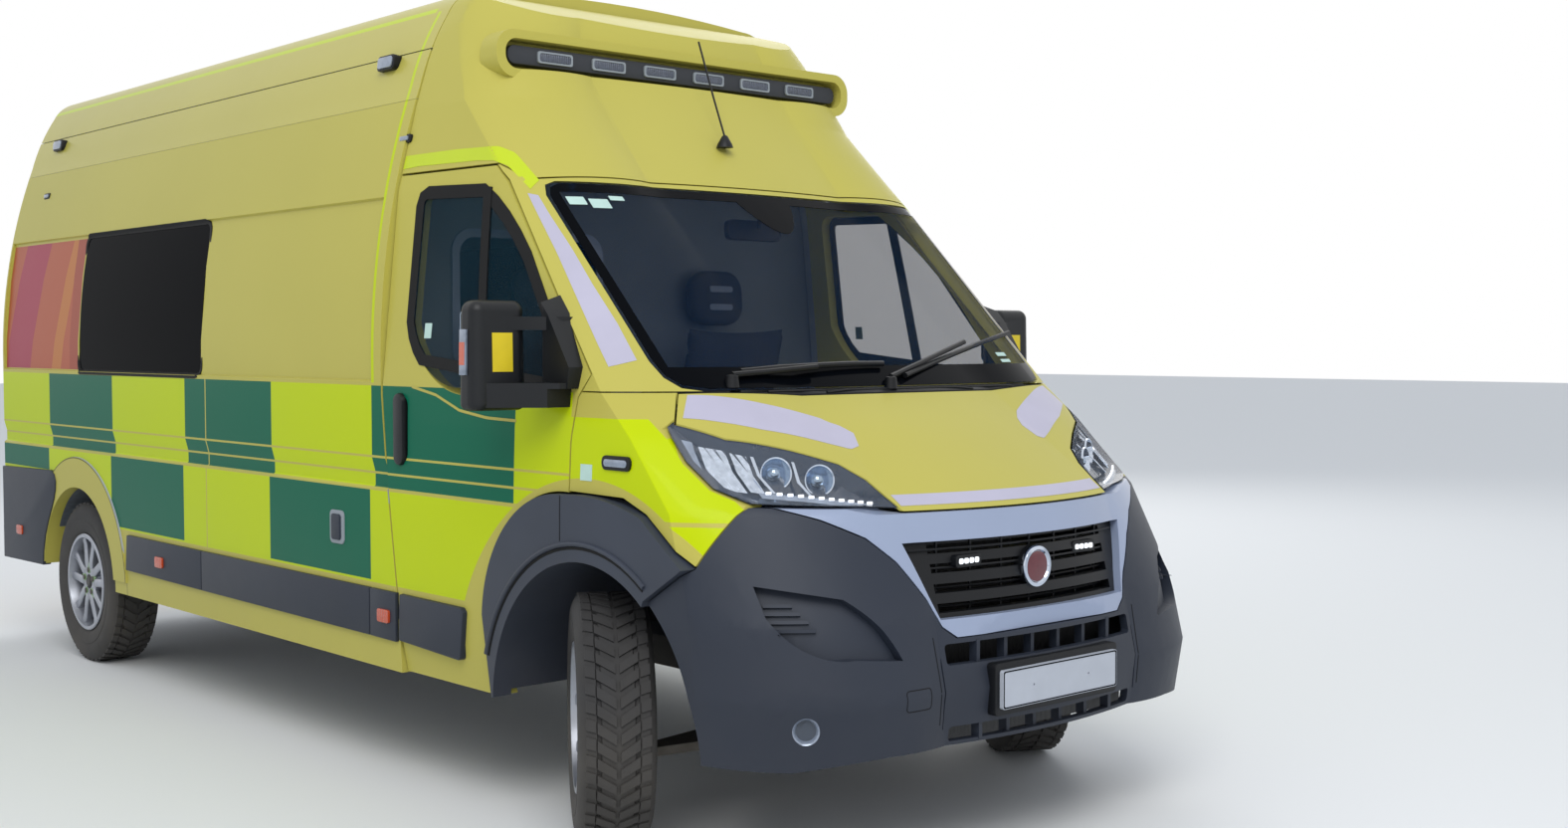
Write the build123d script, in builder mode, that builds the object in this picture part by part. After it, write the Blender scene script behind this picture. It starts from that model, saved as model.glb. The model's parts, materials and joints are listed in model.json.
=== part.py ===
from build123d import *
from collections import namedtuple
from math import cos, radians, sin
import os

# Ambulance on a long-wheelbase, extra-high-roof panel van. X runs forward,
# Y to the driver's left, Z up from the ground. Millimetres. The origin lies
# on the ground under the middle of the body's length and width.

# Wheels
FRONT_AXLE_X = 2060
REAR_AXLE_X = -1975
TYRE_R = 372
TYRE_W = 225
RIM_R = 216
WHEEL_Y = 905
KINGPIN_Y = 835
STEER_DEG = -32
FRONT_ARCH_R = 478
FRONT_ARCH_X = 2078
REAR_ARCH_R = 445

# Body
REAR_X = -2990
CAB_X = 895
HALF_WIDTH = 1027
SILL_Z = 375
WAIST_Z = 1354
ROOF_Z = 2764
CANT_Z = 2330
WALL = 45
BODY_LENGTH = 4030
FORWARD = (1, 0, 0)
FLOOR_Z = 600
GAP = 6
SIDE_WINDOW = (-1280, 1670)

# One level cut through the nose or the cab: where its straight side ends,
# the middle of its corner, the end of its front curve and its foremost point.
Level = namedtuple("Level", "z rear_y side_x side_y mid_x mid_y tip_x tip_y front_x")

NOSE_LEVELS = (
    Level(300, 1000, 2540, 985, 2719, 915, 2940, 406, 2985),
    Level(520, 1027, 2560, 1012, 2790, 905, 2965, 440, 3008),
    Level(720, 1027, 2560, 1018, 2765, 885, 2922, 430, 2965),
    Level(1016, 1027, 2460, 1008, 2650, 830, 2828, 457, 2905),
    Level(1220, 1027, 2270, 1000, 2400, 855, 2535, 430, 2600),
    Level(1345, 1027, 2120, 990, 2250, 845, 2350, 430, 2385),
)

CAB_LEVELS = (
    Level(1345, 1027, 2120, 990, 2250, 845, 2350, 430, 2385),
    Level(2010, 965, 1500, 905, 1572, 840, 1635, 430, 1660),
    Level(2300, 890, 1190, 870, 1290, 800, 1375, 430, 1400),
    Level(2455, 842, 1090, 830, 1200, 770, 1262, 430, 1285),
    Level(2640, 775, 980, 765, 1090, 700, 1180, 400, 1215),
    Level(2800, 740, 860, 730, 960, 660, 1030, 380, 1065),
)


def level_cut(level, inset):
    """Draws one level cut, set in from the outside by the wall's depth."""
    rear_y = level.rear_y - inset
    side = (level.side_x - inset, level.side_y - inset)
    middle = (level.mid_x - inset, level.mid_y - inset)
    tip = (level.tip_x - inset, level.tip_y)
    with BuildSketch(Plane.XY.offset(level.z)) as cut:
        with BuildLine():
            Line((CAB_X - 95, rear_y), (CAB_X - 95, -rear_y))
            Line((CAB_X - 95, -rear_y), (side[0], -side[1]))
            ThreePointArc(
                (side[0], -side[1]), (middle[0], -middle[1]), (tip[0], -tip[1]))
            ThreePointArc(
                (tip[0], -tip[1]), (level.front_x - inset, 0), tip)
            ThreePointArc(tip, middle, side)
            Line(side, (CAB_X - 95, rear_y))
        make_face()
    return cut.sketch


def cross_section(start_x, inset, bottom_z):
    """Draws the load body's cross-section, set in by the wall's depth."""
    low = HALF_WIDTH - inset
    with BuildSketch(Plane.YZ.offset(start_x)) as cut:
        with BuildLine():
            Line((-low, bottom_z), (low, bottom_z))
            Line((low, bottom_z), (low, 1450))
            ThreePointArc(
                (low, 1450), (985 - inset, 1910), (866 - inset, 2375))
            ThreePointArc(
                (866 - inset, 2375), (817 - inset, 2515), (752 - inset, 2640))
            ThreePointArc(
                (752 - inset, 2640), (698 - inset, 2704 - inset),
                (600 - inset, 2735 - inset))
            ThreePointArc(
                (600 - inset, 2735 - inset), (0, ROOF_Z - inset),
                (inset - 600, 2735 - inset))
            ThreePointArc(
                (inset - 600, 2735 - inset), (inset - 698, 2704 - inset),
                (inset - 752, 2640))
            ThreePointArc(
                (inset - 752, 2640), (inset - 817, 2515), (inset - 866, 2375))
            ThreePointArc(
                (inset - 866, 2375), (inset - 985, 1910), (-low, 1450))
            Line((-low, 1450), (-low, bottom_z))
        make_face()
    return cut.sketch


def rear_opening(gap):
    """Draws the opening of the two rear doors, less a gap all round."""
    side = 886 - gap
    with BuildSketch(Plane.YZ.offset(REAR_X)) as cut:
        with BuildLine():
            Polyline(
                (-side, 300 + gap), (side, 300 + gap), (side, 1750),
                (836 - gap, 2150), (745 - gap, 2560 - gap),
                (gap - 745, 2560 - gap), (gap - 836, 2150), (-side, 1750),
                (-side, 300 + gap))
        make_face()
    return cut.sketch


# The load body's skin: a tube with the wall's full depth
with BuildPart() as body_skin:
    add(cross_section(REAR_X, 0, SILL_Z))
    extrude(amount=BODY_LENGTH, dir=FORWARD)
    add(cross_section(REAR_X, WALL, FLOOR_Z))
    extrude(amount=BODY_LENGTH, dir=FORWARD, mode=Mode.SUBTRACT)
    # Corner posts of the rear door frame
    add(cross_section(REAR_X, 0, SILL_Z + 45))
    extrude(amount=60, dir=FORWARD)
    add(rear_opening(0))
    extrude(amount=60, dir=FORWARD, mode=Mode.SUBTRACT)
    # Hollow below the floor, between the sills
    with BuildSketch(Plane.YZ.offset(REAR_X)):
        with Locations((0, SILL_Z)):
            Rectangle(2 * (HALF_WIDTH - 110), 2 * (FLOOR_Z - SILL_Z) + 2)
    extrude(amount=BODY_LENGTH, mode=Mode.SUBTRACT)

# The shallow waist recess and the hollow swage pressed along each side
with BuildPart() as side_pressings:
    with BuildSketch(Plane.YZ.offset(REAR_X + 17)):
        with BuildLine():
            Polyline(
                (-1040, WAIST_Z), (-HALF_WIDTH + 10, WAIST_Z + 8),
                (-HALF_WIDTH + 12, 1500), (-988, 1800), (-960, 1985),
                (-980, 2000), (-1040, 2000), (-1040, WAIST_Z))
        make_face()
    extrude(amount=810 - REAR_X)
    with BuildSketch(Plane.YZ.offset(REAR_X)):
        with BuildLine():
            Polyline(
                (-HALF_WIDTH - 1, 1100), (-HALF_WIDTH + 13, 1045),
                (-HALF_WIDTH + 13, 1000), (-HALF_WIDTH - 1, 989),
                (-HALF_WIDTH - 1, 1100))
        make_face()
    extrude(amount=BODY_LENGTH)
    mirror(about=Plane.XZ)

# Each side of the load body, up to the cant line under the roof
with BuildPart() as side_right:
    add(body_skin.part)
    with BuildSketch(Plane.XZ) as side_outline:
        with BuildLine():
            Polyline(
                (REAR_X, 570), (REAR_X, CANT_Z), (CAB_X, CANT_Z),
                (CAB_X, 1315), (929, 1011), (992, 626), (1021, 404),
                (1021, SILL_Z), (REAR_X + 730, SILL_Z),
                (REAR_X + 725, SILL_Z + 45), (REAR_X + 85, SILL_Z + 45),
                (REAR_X + 85, 570), (REAR_X, 570))
        make_face()
    extrude(amount=1300, mode=Mode.INTERSECT)
    add(side_pressings.part, mode=Mode.SUBTRACT)
    # Pressed lip round the rear wheel arch
    with BuildSketch(Plane.XZ.offset(HALF_WIDTH - 20)):
        with Locations((REAR_AXLE_X, TYRE_R)):
            Circle(592)
        with Locations((REAR_AXLE_X, 24)):
            Rectangle(1300, 800, mode=Mode.SUBTRACT)
    extrude(amount=28, taper=12)
    with BuildSketch(Plane.XZ):
        with Locations((REAR_AXLE_X, TYRE_R)):
            Circle(REAR_ARCH_R)
    extrude(amount=1300, mode=Mode.SUBTRACT)
    # Opening for the dark side window
    with BuildSketch(Plane.XZ):
        with Locations(SIDE_WINDOW):
            RectangleRounded(1360, 622, 40)
    extrude(amount=1300, mode=Mode.SUBTRACT)

with BuildPart() as side_left:
    mirror(side_right.part, about=Plane.XZ)
    # Opening for the sliding door
    with BuildSketch(Plane.XZ.offset(-700)):
        with Locations((235, 1180)):
            RectangleRounded(1240, 1600, 40)
    extrude(amount=-500, mode=Mode.SUBTRACT)

with BuildPart() as sliding_door:
    add(body_skin.part)
    with BuildSketch(Plane.XZ.offset(-700)):
        with Locations((235, 1180)):
            RectangleRounded(1240 - 2 * GAP, 1600 - 2 * GAP, 34)
    extrude(amount=-500, mode=Mode.INTERSECT)
    add(side_pressings.part, mode=Mode.SUBTRACT)
    with BuildSketch(Plane.XZ.offset(-700)):
        with Locations((235, 1672)):
            RectangleRounded(1000, 540, 50)
    extrude(amount=-500, mode=Mode.SUBTRACT)

# Roof above the cant line, from the rear doors to the cab
with BuildPart() as roof:
    add(body_skin.part)
    with BuildSketch(Plane.XZ.offset(-1300)):
        with BuildLine():
            Polyline(
                (REAR_X, CANT_Z + 1), (REAR_X, 2900), (CAB_X, 2900),
                (CAB_X, CANT_Z + 1), (REAR_X, CANT_Z + 1))
        make_face()
    extrude(amount=2600, mode=Mode.INTERSECT)
    # Rain channel along each cant rail
    with BuildSketch(Plane.YZ.offset(REAR_X)):
        with Locations((-812, 2507), (812, 2507)):
            Rectangle(16, 10)
    extrude(amount=BODY_LENGTH, mode=Mode.SUBTRACT)

# The cab's outer form and the space inside it
with BuildPart() as cab_outer:
    for level in CAB_LEVELS:
        add(level_cut(level, 0))
    loft(ruled=True)
    add(cross_section(CAB_X - 95, 0, SILL_Z))
    extrude(amount=2400, dir=FORWARD, mode=Mode.INTERSECT)
    # The brow falls away in front of the roof's crown
    with BuildSketch(Plane.XZ.offset(-1300)):
        with BuildLine():
            Polyline(
                (-1500, 2764), (-1500, 3000), (1400, 3000), (1400, 2560),
                (1245, 2600))
            ThreePointArc((1245, 2600), (986, 2697), (60, ROOF_Z))
            Line((60, ROOF_Z), (-1500, ROOF_Z))
        make_face()
    extrude(amount=2600, mode=Mode.SUBTRACT)

with BuildPart() as cab_inner:
    for level in CAB_LEVELS:
        add(level_cut(level, WALL))
    loft(ruled=True)
    add(cross_section(CAB_X - 95, WALL, SILL_Z))
    extrude(amount=2400, dir=FORWARD, mode=Mode.INTERSECT)
    with BuildSketch(Plane.XZ.offset(-1300)):
        with BuildLine():
            Polyline(
                (-1500, 2719), (-1500, 3000), (1400, 3000), (1400, 2500),
                (1190, 2570))
            ThreePointArc((1190, 2570), (960, 2650), (60, 2719))
            Line((60, 2719), (-1500, 2719))
        make_face()
    extrude(amount=2600, mode=Mode.SUBTRACT)

with BuildPart() as nose_outer:
    for level in NOSE_LEVELS:
        add(level_cut(level, 0))
    loft(ruled=True)

with BuildPart() as nose_inner:
    for level in NOSE_LEVELS:
        add(level_cut(level, 28))
    loft(ruled=True)

# Moulded front of the high roof, with the cove for the light bar
with BuildPart() as roof_fairing:
    add(cab_outer.part)
    add(cab_inner.part, mode=Mode.SUBTRACT)
    with BuildSketch(Plane.XZ.offset(-1300)):
        with BuildLine():
            Polyline(
                (901, 2900), (901, 2068), (1440, 2068), (1560, 2015),
                (1700, 2030), (1700, 2900), (901, 2900))
        make_face()
    extrude(amount=2600, mode=Mode.INTERSECT)
    with BuildSketch(Plane.YZ.offset(1185)):
        with Locations((0, 2455)):
            RectangleRounded(1610, 160, 70)
    extrude(amount=103)
    with BuildSketch(Plane.YZ.offset(1212)):
        with Locations((0, 2455)):
            RectangleRounded(1540, 100, 45)
    extrude(amount=300, mode=Mode.SUBTRACT)

# The glass skin that the windscreen is cut from
with BuildPart() as cab_glazing:
    for level in CAB_LEVELS[:3]:
        add(level_cut(level, 7))
    loft(ruled=True)

# The windscreen's right edge from its foot to its head, seen from the front
SCREEN_CORNER = ((-740, 1352), (-801, 1362), (-829, 1390), (-840, 1436),
                 (-838, 1955), (-826, 1988), (-796, 2000))

with BuildPart() as windscreen:
    add(cab_outer.part)
    add(cab_glazing.part, mode=Mode.SUBTRACT)
    with BuildSketch(Plane.YZ.offset(1300)) as screen_outline:
        with BuildLine():
            Polyline(*SCREEN_CORNER, *[(-y, z) for y, z in reversed(SCREEN_CORNER)],
                     SCREEN_CORNER[0])
        make_face()
    extrude(amount=1200, dir=FORWARD, mode=Mode.INTERSECT)

# Pillars, header and sills that carry the windscreen and the doors
with BuildPart() as cab_frame:
    add(cab_outer.part)
    add(cab_inner.part, mode=Mode.SUBTRACT)
    with BuildSketch(Plane.XZ.offset(-1300)):
        with BuildLine():
            Polyline(
                (1436, 2064), (1507, 2010), (2066, 1399), (2030, 1349),
                (2500, 1349), (2500, 2026), (1700, 2026), (1560, 2009),
                (1440, 2064), (1436, 2064))
        make_face()
    extrude(amount=2600, mode=Mode.INTERSECT)
    with BuildSketch(Plane.YZ.offset(1300)):
        with BuildLine():
            Polyline(
                (-743, 1340), (-743, 1348), (-804, 1358), (-833, 1388),
                (-844, 1436), (-842, 1956), (-829, 1991), (-798, 2004),
                (798, 2004), (829, 1991), (842, 1956), (844, 1436),
                (833, 1388), (804, 1358), (743, 1348), (743, 1340),
                (-743, 1340))
        make_face()
    extrude(amount=1200, dir=FORWARD, mode=Mode.SUBTRACT)

# The skin of a cab door: cab wall above, wing wall below the waist
with BuildPart() as door_skin:
    add(nose_outer.part)
    with BuildSketch(Plane.XZ.offset(-1300)):
        with Locations((1600, 860.5)):
            Rectangle(1500, 969)
    extrude(amount=2600, mode=Mode.INTERSECT)
    add(cab_outer.part)
    for level in NOSE_LEVELS:
        add(level_cut(level, 70))
    loft(ruled=True, mode=Mode.SUBTRACT)
    add(cab_inner.part, mode=Mode.SUBTRACT)

with BuildPart() as cab_door_right:
    add(door_skin.part)
    with BuildSketch(Plane.XZ) as door_outline:
        with BuildLine():
            Polyline(
                (903, 2060), (1430, 2060), (1500, 2004), (2058, 1395),
                (2008, 1330), (1986, 1200), (1984, 1049))
            ThreePointArc((1984, 1049), (1700, 960), (1532, 640))
            Polyline(
                (1532, 640), (1584, 381), (1029, 381), (999, 626),
                (936, 1011), (903, 1315), (903, 2060))
        make_face()
    extrude(amount=1300, mode=Mode.INTERSECT)
    # Window opening, split by the divider bar
    with BuildSketch(Plane.XZ):
        with BuildLine() as window_line:
            Line((1040, 1560), (1034, 1950))
            ThreePointArc((1034, 1950), (1046, 1985), (1080, 2000))
            Line((1080, 2000), (1390, 1990))
            ThreePointArc((1390, 1990), (1640, 1800), (1880, 1500))
            Polyline((1880, 1500), (1955, 1400), (1900, 1352), (1420, 1322))
            ThreePointArc((1420, 1322), (1160, 1410), (1040, 1560))
        make_face()
    extrude(amount=1300, mode=Mode.SUBTRACT)
    # Handle pocket
    with BuildSketch(Plane.XZ.offset(990)):
        with Locations((1025, 1200)):
            SlotCenterToCenter(150, 80, rotation=90)
    extrude(amount=60, mode=Mode.SUBTRACT)

with BuildPart() as door_glass_right:
    add(cab_outer.part)
    add(cab_glazing.part, mode=Mode.SUBTRACT)
    with BuildSketch(Plane.XZ):
        with BuildLine():
            Line((1042, 1562), (1036, 1949))
            ThreePointArc((1036, 1949), (1048, 1983), (1081, 1998))
            Line((1081, 1998), (1389, 1988))
            ThreePointArc((1389, 1988), (1639, 1798), (1878, 1499))
            Polyline((1878, 1499), (1952, 1401), (1900, 1354), (1420, 1349))
            ThreePointArc((1420, 1349), (1180, 1400), (1042, 1562))
        make_face()
    extrude(amount=1300, mode=Mode.INTERSECT)

with BuildPart() as cab_door_left:
    mirror(cab_door_right.part, about=Plane.XZ)

with BuildPart() as door_glass_left:
    mirror(door_glass_right.part, about=Plane.XZ)

# Door mirror: a tall housing on two arms from a sail in the window's corner
with BuildPart() as mirror_right:
    with BuildSketch(Plane.XY.offset(1290)):
        with Locations((1804, -1157)):
            RectangleRounded(103, 194, 40)
    extrude(amount=326, taper=1)
    fillet(mirror_right.faces().sort_by(Axis.Z)[-1].edges(), 34)
    fillet(mirror_right.faces().sort_by(Axis.Z)[0].edges(), 22)
    # Lower arm, as deep as the foot of the housing
    with BuildSketch(Plane.XY.offset(1300)):
        with BuildLine():
            Polyline(
                (1810, -1080), (1810, -1225), (1850, -1215), (2000, -1052),
                (2012, -960), (1880, -960), (1860, -1060), (1810, -1080))
        make_face()
    extrude(amount=72)
    # Upper arm
    with BuildSketch(Plane.XY.offset(1528)):
        with BuildLine():
            Polyline(
                (1800, -1070), (1800, -1120), (1850, -1120), (1925, -985),
                (1925, -930), (1885, -930), (1850, -1070), (1800, -1070))
        make_face()
    extrude(amount=40)
    with BuildSketch(Plane.XZ.offset(930)):
        with BuildLine():
            Polyline(
                (1872, 1300), (1872, 1590), (1852, 1640), (1912, 1580),
                (2022, 1420), (2012, 1345), (2006, 1300), (1872, 1300))
        make_face()
    extrude(amount=100, taper=4)
    add(cab_outer.part, mode=Mode.SUBTRACT)
    add(nose_outer.part, mode=Mode.SUBTRACT)
    # The foot ends at the door's hinge line, clear of the wing as the door opens
    with BuildSketch(Plane.XY.offset(1280)):
        with Locations((2025, -1000)):
            Rectangle(100, 300)
    extrude(amount=75, mode=Mode.SUBTRACT)

with BuildPart() as mirror_left:
    mirror(mirror_right.part, about=Plane.XZ)

# Bonnet, lamps, wings and bumper are all cut from the nose
BONNET_EDGE = (
    (2268, 822), (2330, 880), (2440, 790), (2545, 640), (2630, 525), (2700, 482),
    (2840, 456))
# Rear seam of the bonnet, parallel to the foot of the windscreen
SEAM_MIDDLE = ((2370, 430), (2405, 0), (2370, -430))
SEAM_CORNER = (2322, 700)


def bonnet_plan(level, gap):
    """Draws the bonnet's outline from above, grown by the gap round it."""
    mirrored = [(x, -y) for x, y in BONNET_EDGE]
    with BuildSketch(Plane.XY.offset(level)) as cut:
        with BuildLine():
            Polyline(*mirrored)
            Polyline(mirrored[-1], (3000, -430), (3000, 430), BONNET_EDGE[-1])
            Polyline(*reversed(BONNET_EDGE))
            ThreePointArc(BONNET_EDGE[0], SEAM_CORNER, SEAM_MIDDLE[0])
            ThreePointArc(*SEAM_MIDDLE)
            ThreePointArc(
                SEAM_MIDDLE[2], (SEAM_CORNER[0], -SEAM_CORNER[1]), mirrored[0])
        make_face()
        if gap:
            offset(amount=gap, kind=Kind.TANGENT)
    return cut.sketch


with BuildPart() as bonnet_inner:
    for level in NOSE_LEVELS:
        add(level_cut(level, 15))
    loft(ruled=True)

with BuildPart() as nose_core:
    for level in NOSE_LEVELS:
        add(level_cut(level, 100))
    loft(ruled=True)

with BuildPart() as bonnet:
    add(nose_outer.part)
    add(bonnet_inner.part, mode=Mode.SUBTRACT)
    add(bonnet_plan(1017, 0))
    extrude(amount=400, dir=(0, 0, 1), mode=Mode.INTERSECT)

with BuildPart() as front_skin:
    add(nose_outer.part)
    add(nose_inner.part, mode=Mode.SUBTRACT)
    add(bonnet_plan(1011, GAP))
    extrude(amount=400, dir=(0, 0, 1), mode=Mode.SUBTRACT)
    # Nothing of the wings reaches in behind the bonnet
    with BuildSketch(Plane.XY.offset(1011)):
        with Locations((2200, 0)):
            Rectangle(300, 1640)
    extrude(amount=400, mode=Mode.SUBTRACT)

with BuildPart() as wing_right:
    add(front_skin.part)
    with BuildSketch(Plane.XZ):
        with BuildLine():
            Polyline(
                (1990, 1053), (1992, 1200), (2014, 1330), (2064, 1392),
                (2318, 1392), (2318, 1246), (2417, 1151), (2511, 1081),
                (2602, 1041), (2605, 1030), (2549, 880), (2358, 1010),
                (2250, 1049), (1990, 1053))
        make_face()
    extrude(amount=1300, mode=Mode.INTERSECT)

with BuildPart() as wing_left:
    mirror(wing_right.part, about=Plane.XZ)

with BuildPart() as headlamp_right:
    add(nose_outer.part)
    add(nose_core.part, mode=Mode.SUBTRACT)
    with BuildSketch(Plane.XZ):
        with BuildLine():
            Polyline(
                (2323, 1338), (2323, 1250), (2421, 1156), (2515, 1086),
                (2610, 1046), (2773, 1034), (2836, 1020), (2860, 1020),
                (2860, 1338), (2323, 1338))
        make_face()
    extrude(amount=1300, mode=Mode.INTERSECT)
    add(bonnet_plan(1005, GAP))
    extrude(amount=400, dir=(0, 0, 1), mode=Mode.SUBTRACT)
    with BuildSketch(Plane.XY.offset(1000)):
        with Locations((2500, 300)):
            Rectangle(1000, 1490)
        with Locations((2300, -400)):
            Rectangle(220, 800)
    extrude(amount=400, mode=Mode.SUBTRACT)

with BuildPart() as headlamp_left:
    mirror(headlamp_right.part, about=Plane.XZ)

# Black slot between bonnet and windscreen
with BuildPart() as cowl:
    add(nose_outer.part)
    add(nose_core.part, mode=Mode.SUBTRACT)
    with BuildSketch(Plane.XY.offset(1300)):
        with BuildLine():
            ThreePointArc((2262, 800), (2315, 695), (2363, 430))
            ThreePointArc((2363, 430), (2398, 0), (2363, -430))
            ThreePointArc((2363, -430), (2315, -695), (2262, -800))
            Polyline((2262, -800), (2150, -800), (2150, 800), (2262, 800))
        make_face()
    extrude(amount=44, mode=Mode.INTERSECT)

# Edge between the bumper and the bright surround that sweeps to the lamps
SURROUND_EDGE = ((834, 1046), (704, 1000), (600, 948), (527, 880), (450, 771),
                 (414, 695), (368, 662))

with BuildPart() as front_bumper:
    add(nose_outer.part)
    add(nose_inner.part, mode=Mode.SUBTRACT)
    with BuildSketch(Plane.XZ.offset(-1300)):
        with BuildLine():
            Polyline(
                (2380, 335), (2380, 768), (2551, 872), (2611, 1036),
                (2773, 1028), (2836, 1014), (3100, 1014), (3100, 366),
                (2940, 366), (2800, 335), (2380, 335))
        make_face()
        with Locations((FRONT_ARCH_X, TYRE_R)):
            Circle(FRONT_ARCH_R + 12, mode=Mode.SUBTRACT)
    extrude(amount=2600, mode=Mode.INTERSECT)
    # Room for the surround of the grille
    with BuildSketch(Plane.YZ.offset(2560)):
        with BuildLine():
            Polyline(*[(y, z) for y, z in SURROUND_EDGE])
            Line((368, 662), (-368, 662))
            Polyline(*[(-y, z) for y, z in reversed(SURROUND_EDGE)])
            Polyline((-834, 1046), (-834, 1100), (834, 1100), (834, 1046))
        make_face()
    extrude(amount=500, mode=Mode.SUBTRACT)
    # Slot band above the plate, lower intake and the seams of the middle part
    with BuildSketch(Plane.YZ.offset(2700)):
        with Locations((0, 620)):
            RectangleRounded(830, 58, 12)
        with Locations((0, 398)):
            RectangleRounded(820, 42, 12)
    extrude(amount=400, mode=Mode.SUBTRACT)
    with BuildSketch(Plane.YZ.offset(2945)):
        with Locations((-434, 535), (434, 535)):
            Rectangle(4, 240)
    extrude(amount=100, mode=Mode.SUBTRACT)
    # Ribs across the slot band and the lower intake
    with BuildSketch(Plane.YZ.offset(2934)):
        with Locations((0, 620)):
            with GridLocations(118, 0, 6, 1):
                Rectangle(14, 66)
    extrude(amount=28)
    with BuildSketch(Plane.YZ.offset(2942)):
        with Locations((0, 398)):
            with GridLocations(118, 0, 6, 1):
                Rectangle(14, 50)
    extrude(amount=30)
    # A closed pocket beside each wheel, under the lamp
    for side in (-1, 1):
        with BuildSketch(Plane.YZ.offset(2660)):
            with BuildLine():
                Line((side * 900, 832), (side * 712, 794))
                ThreePointArc((side * 712, 794), (side * 640, 725), (side * 579, 624))
                Line((side * 579, 624), (side * 720, 636))
                ThreePointArc((side * 720, 636), (side * 850, 676), (side * 897, 750))
                Line((side * 897, 750), (side * 900, 832))
            make_face()
        extrude(amount=400, mode=Mode.SUBTRACT)
        fog_lamp = Plane(origin=(2839, side * 843, 451), z_dir=(0.75, side * 0.66, 0))
        with BuildSketch(fog_lamp.offset(-18)):
            Circle(38)
        extrude(amount=60, mode=Mode.SUBTRACT)

with BuildPart() as pocket_floor:
    for level in NOSE_LEVELS:
        add(level_cut(level, 26))
    loft(ruled=True)
    for level in NOSE_LEVELS:
        add(level_cut(level, 34))
    loft(ruled=True, mode=Mode.SUBTRACT)
    with BuildSketch(Plane.YZ.offset(2640)):
        with Locations((-740, 730), (740, 730)):
            Rectangle(400, 250)
    extrude(amount=400, mode=Mode.INTERSECT)

with BuildPart() as front_bumper_whole:
    add(front_bumper.part)
    add(pocket_floor.part)

with BuildPart() as grille_surround:
    add(nose_outer.part)
    add(nose_inner.part, mode=Mode.SUBTRACT)
    with BuildSketch(Plane.YZ.offset(2560)):
        with BuildLine():
            Polyline(*[(y - 4, z + 3) for y, z in SURROUND_EDGE])
            Line((364, 665), (-364, 665))
            Polyline(*[(4 - y, z + 3) for y, z in reversed(SURROUND_EDGE)])
            Polyline((-830, 1049), (-830, 1100), (830, 1100), (830, 1049))
        make_face()
        with BuildLine():
            Polyline(
                (-490, 930), (490, 930), (412, 716), (-412, 716),
                (-490, 930))
        make_face(mode=Mode.SUBTRACT)
    extrude(amount=400, mode=Mode.INTERSECT)
    # Up to the bonnet's lip and the lower edge of each lamp
    with BuildSketch(Plane.XZ.offset(-1300)):
        with BuildLine():
            Polyline(
                (2560, 600), (2611, 1036), (2760, 1028), (2806, 1011),
                (3100, 1011), (3100, 600), (2560, 600))
        make_face()
    extrude(amount=2600, mode=Mode.INTERSECT)

with BuildPart() as grille:
    add(nose_inner.part)
    for level in NOSE_LEVELS:
        add(level_cut(level, 60))
    loft(ruled=True, mode=Mode.SUBTRACT)
    with BuildSketch(Plane.YZ.offset(2700)):
        with BuildLine():
            Polyline(
                (-496, 938), (496, 938), (416, 708), (-416, 708),
                (-496, 938))
        make_face()
        with Locations((0, 742), (0, 796), (0, 852), (0, 906)):
            Rectangle(780, 26, mode=Mode.SUBTRACT)
    extrude(amount=400, mode=Mode.INTERSECT)
    with BuildSketch(Plane.YZ.offset(2890)):
        with Locations((0, 832)):
            Circle(62)
    extrude(amount=38)


# Number plate on its plinth, with the two screw holes
with BuildPart() as front_plate:
    with BuildSketch(Plane.YZ.offset(3008)):
        with Locations((0, 511)):
            RectangleRounded(520, 111, 8)
    extrude(amount=17)
    with BuildSketch(Plane.YZ.offset(3008)):
        with Locations((-125, 511), (125, 511)):
            Circle(3.5)
    extrude(amount=17, mode=Mode.SUBTRACT)

# Grey plastic lip round each front wheel arch, with its liner inside
with BuildPart() as arch_right:
    with BuildSketch(Plane.XZ.offset(968)):
        with BuildLine():
            Line((1590, 381), (1538, 636))
            ThreePointArc((1538, 636), (1705, 953), (1984, 1043))
            ThreePointArc((1984, 1043), (2200, 1037), (2358, 1002))
            Polyline(
                (2358, 1002), (2545, 872), (2374, 770), (2300, 600),
                (1750, 381), (1590, 381))
        make_face()
        with Locations((FRONT_ARCH_X, TYRE_R)):
            Circle(FRONT_ARCH_R, mode=Mode.SUBTRACT)
    extrude(amount=68)
    with BuildSketch(Plane.XZ.offset(590)):
        with Locations((FRONT_ARCH_X, TYRE_R)):
            Circle(FRONT_ARCH_R + 8)
            Circle(FRONT_ARCH_R, mode=Mode.SUBTRACT)
        with Locations((FRONT_ARCH_X, 100)):
            Rectangle(1200, 600, mode=Mode.SUBTRACT)
    extrude(amount=380)

with BuildPart() as arch_left:
    mirror(arch_right.part, about=Plane.XZ)

# Side rubbing strips along the sills
with BuildPart() as strip_right:
    with BuildSketch(Plane.XZ.offset(HALF_WIDTH)):
        with BuildLine():
            Polyline(
                (-1383, 485), (-1360, 646), (984, 646), (1004, 520),
                (-1383, 485))
        make_face()
    extrude(amount=12, taper=20)

with BuildPart() as strip_left:
    mirror(strip_right.part, about=Plane.XZ)

# Dark glass of the treatment room's two side windows
with BuildPart() as glass_tube:
    add(cross_section(REAR_X, 14, FLOOR_Z))
    extrude(amount=BODY_LENGTH, dir=FORWARD)
    add(cross_section(REAR_X, 22, FLOOR_Z))
    extrude(amount=BODY_LENGTH, dir=FORWARD, mode=Mode.SUBTRACT)

with BuildPart() as side_glass_right:
    add(glass_tube.part)
    with BuildSketch(Plane.XZ):
        with Locations(SIDE_WINDOW):
            RectangleRounded(1358, 620, 39)
    extrude(amount=1300, mode=Mode.INTERSECT)

with BuildPart() as side_glass_left:
    mirror(side_glass_right.part, about=Plane.XZ)

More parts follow.
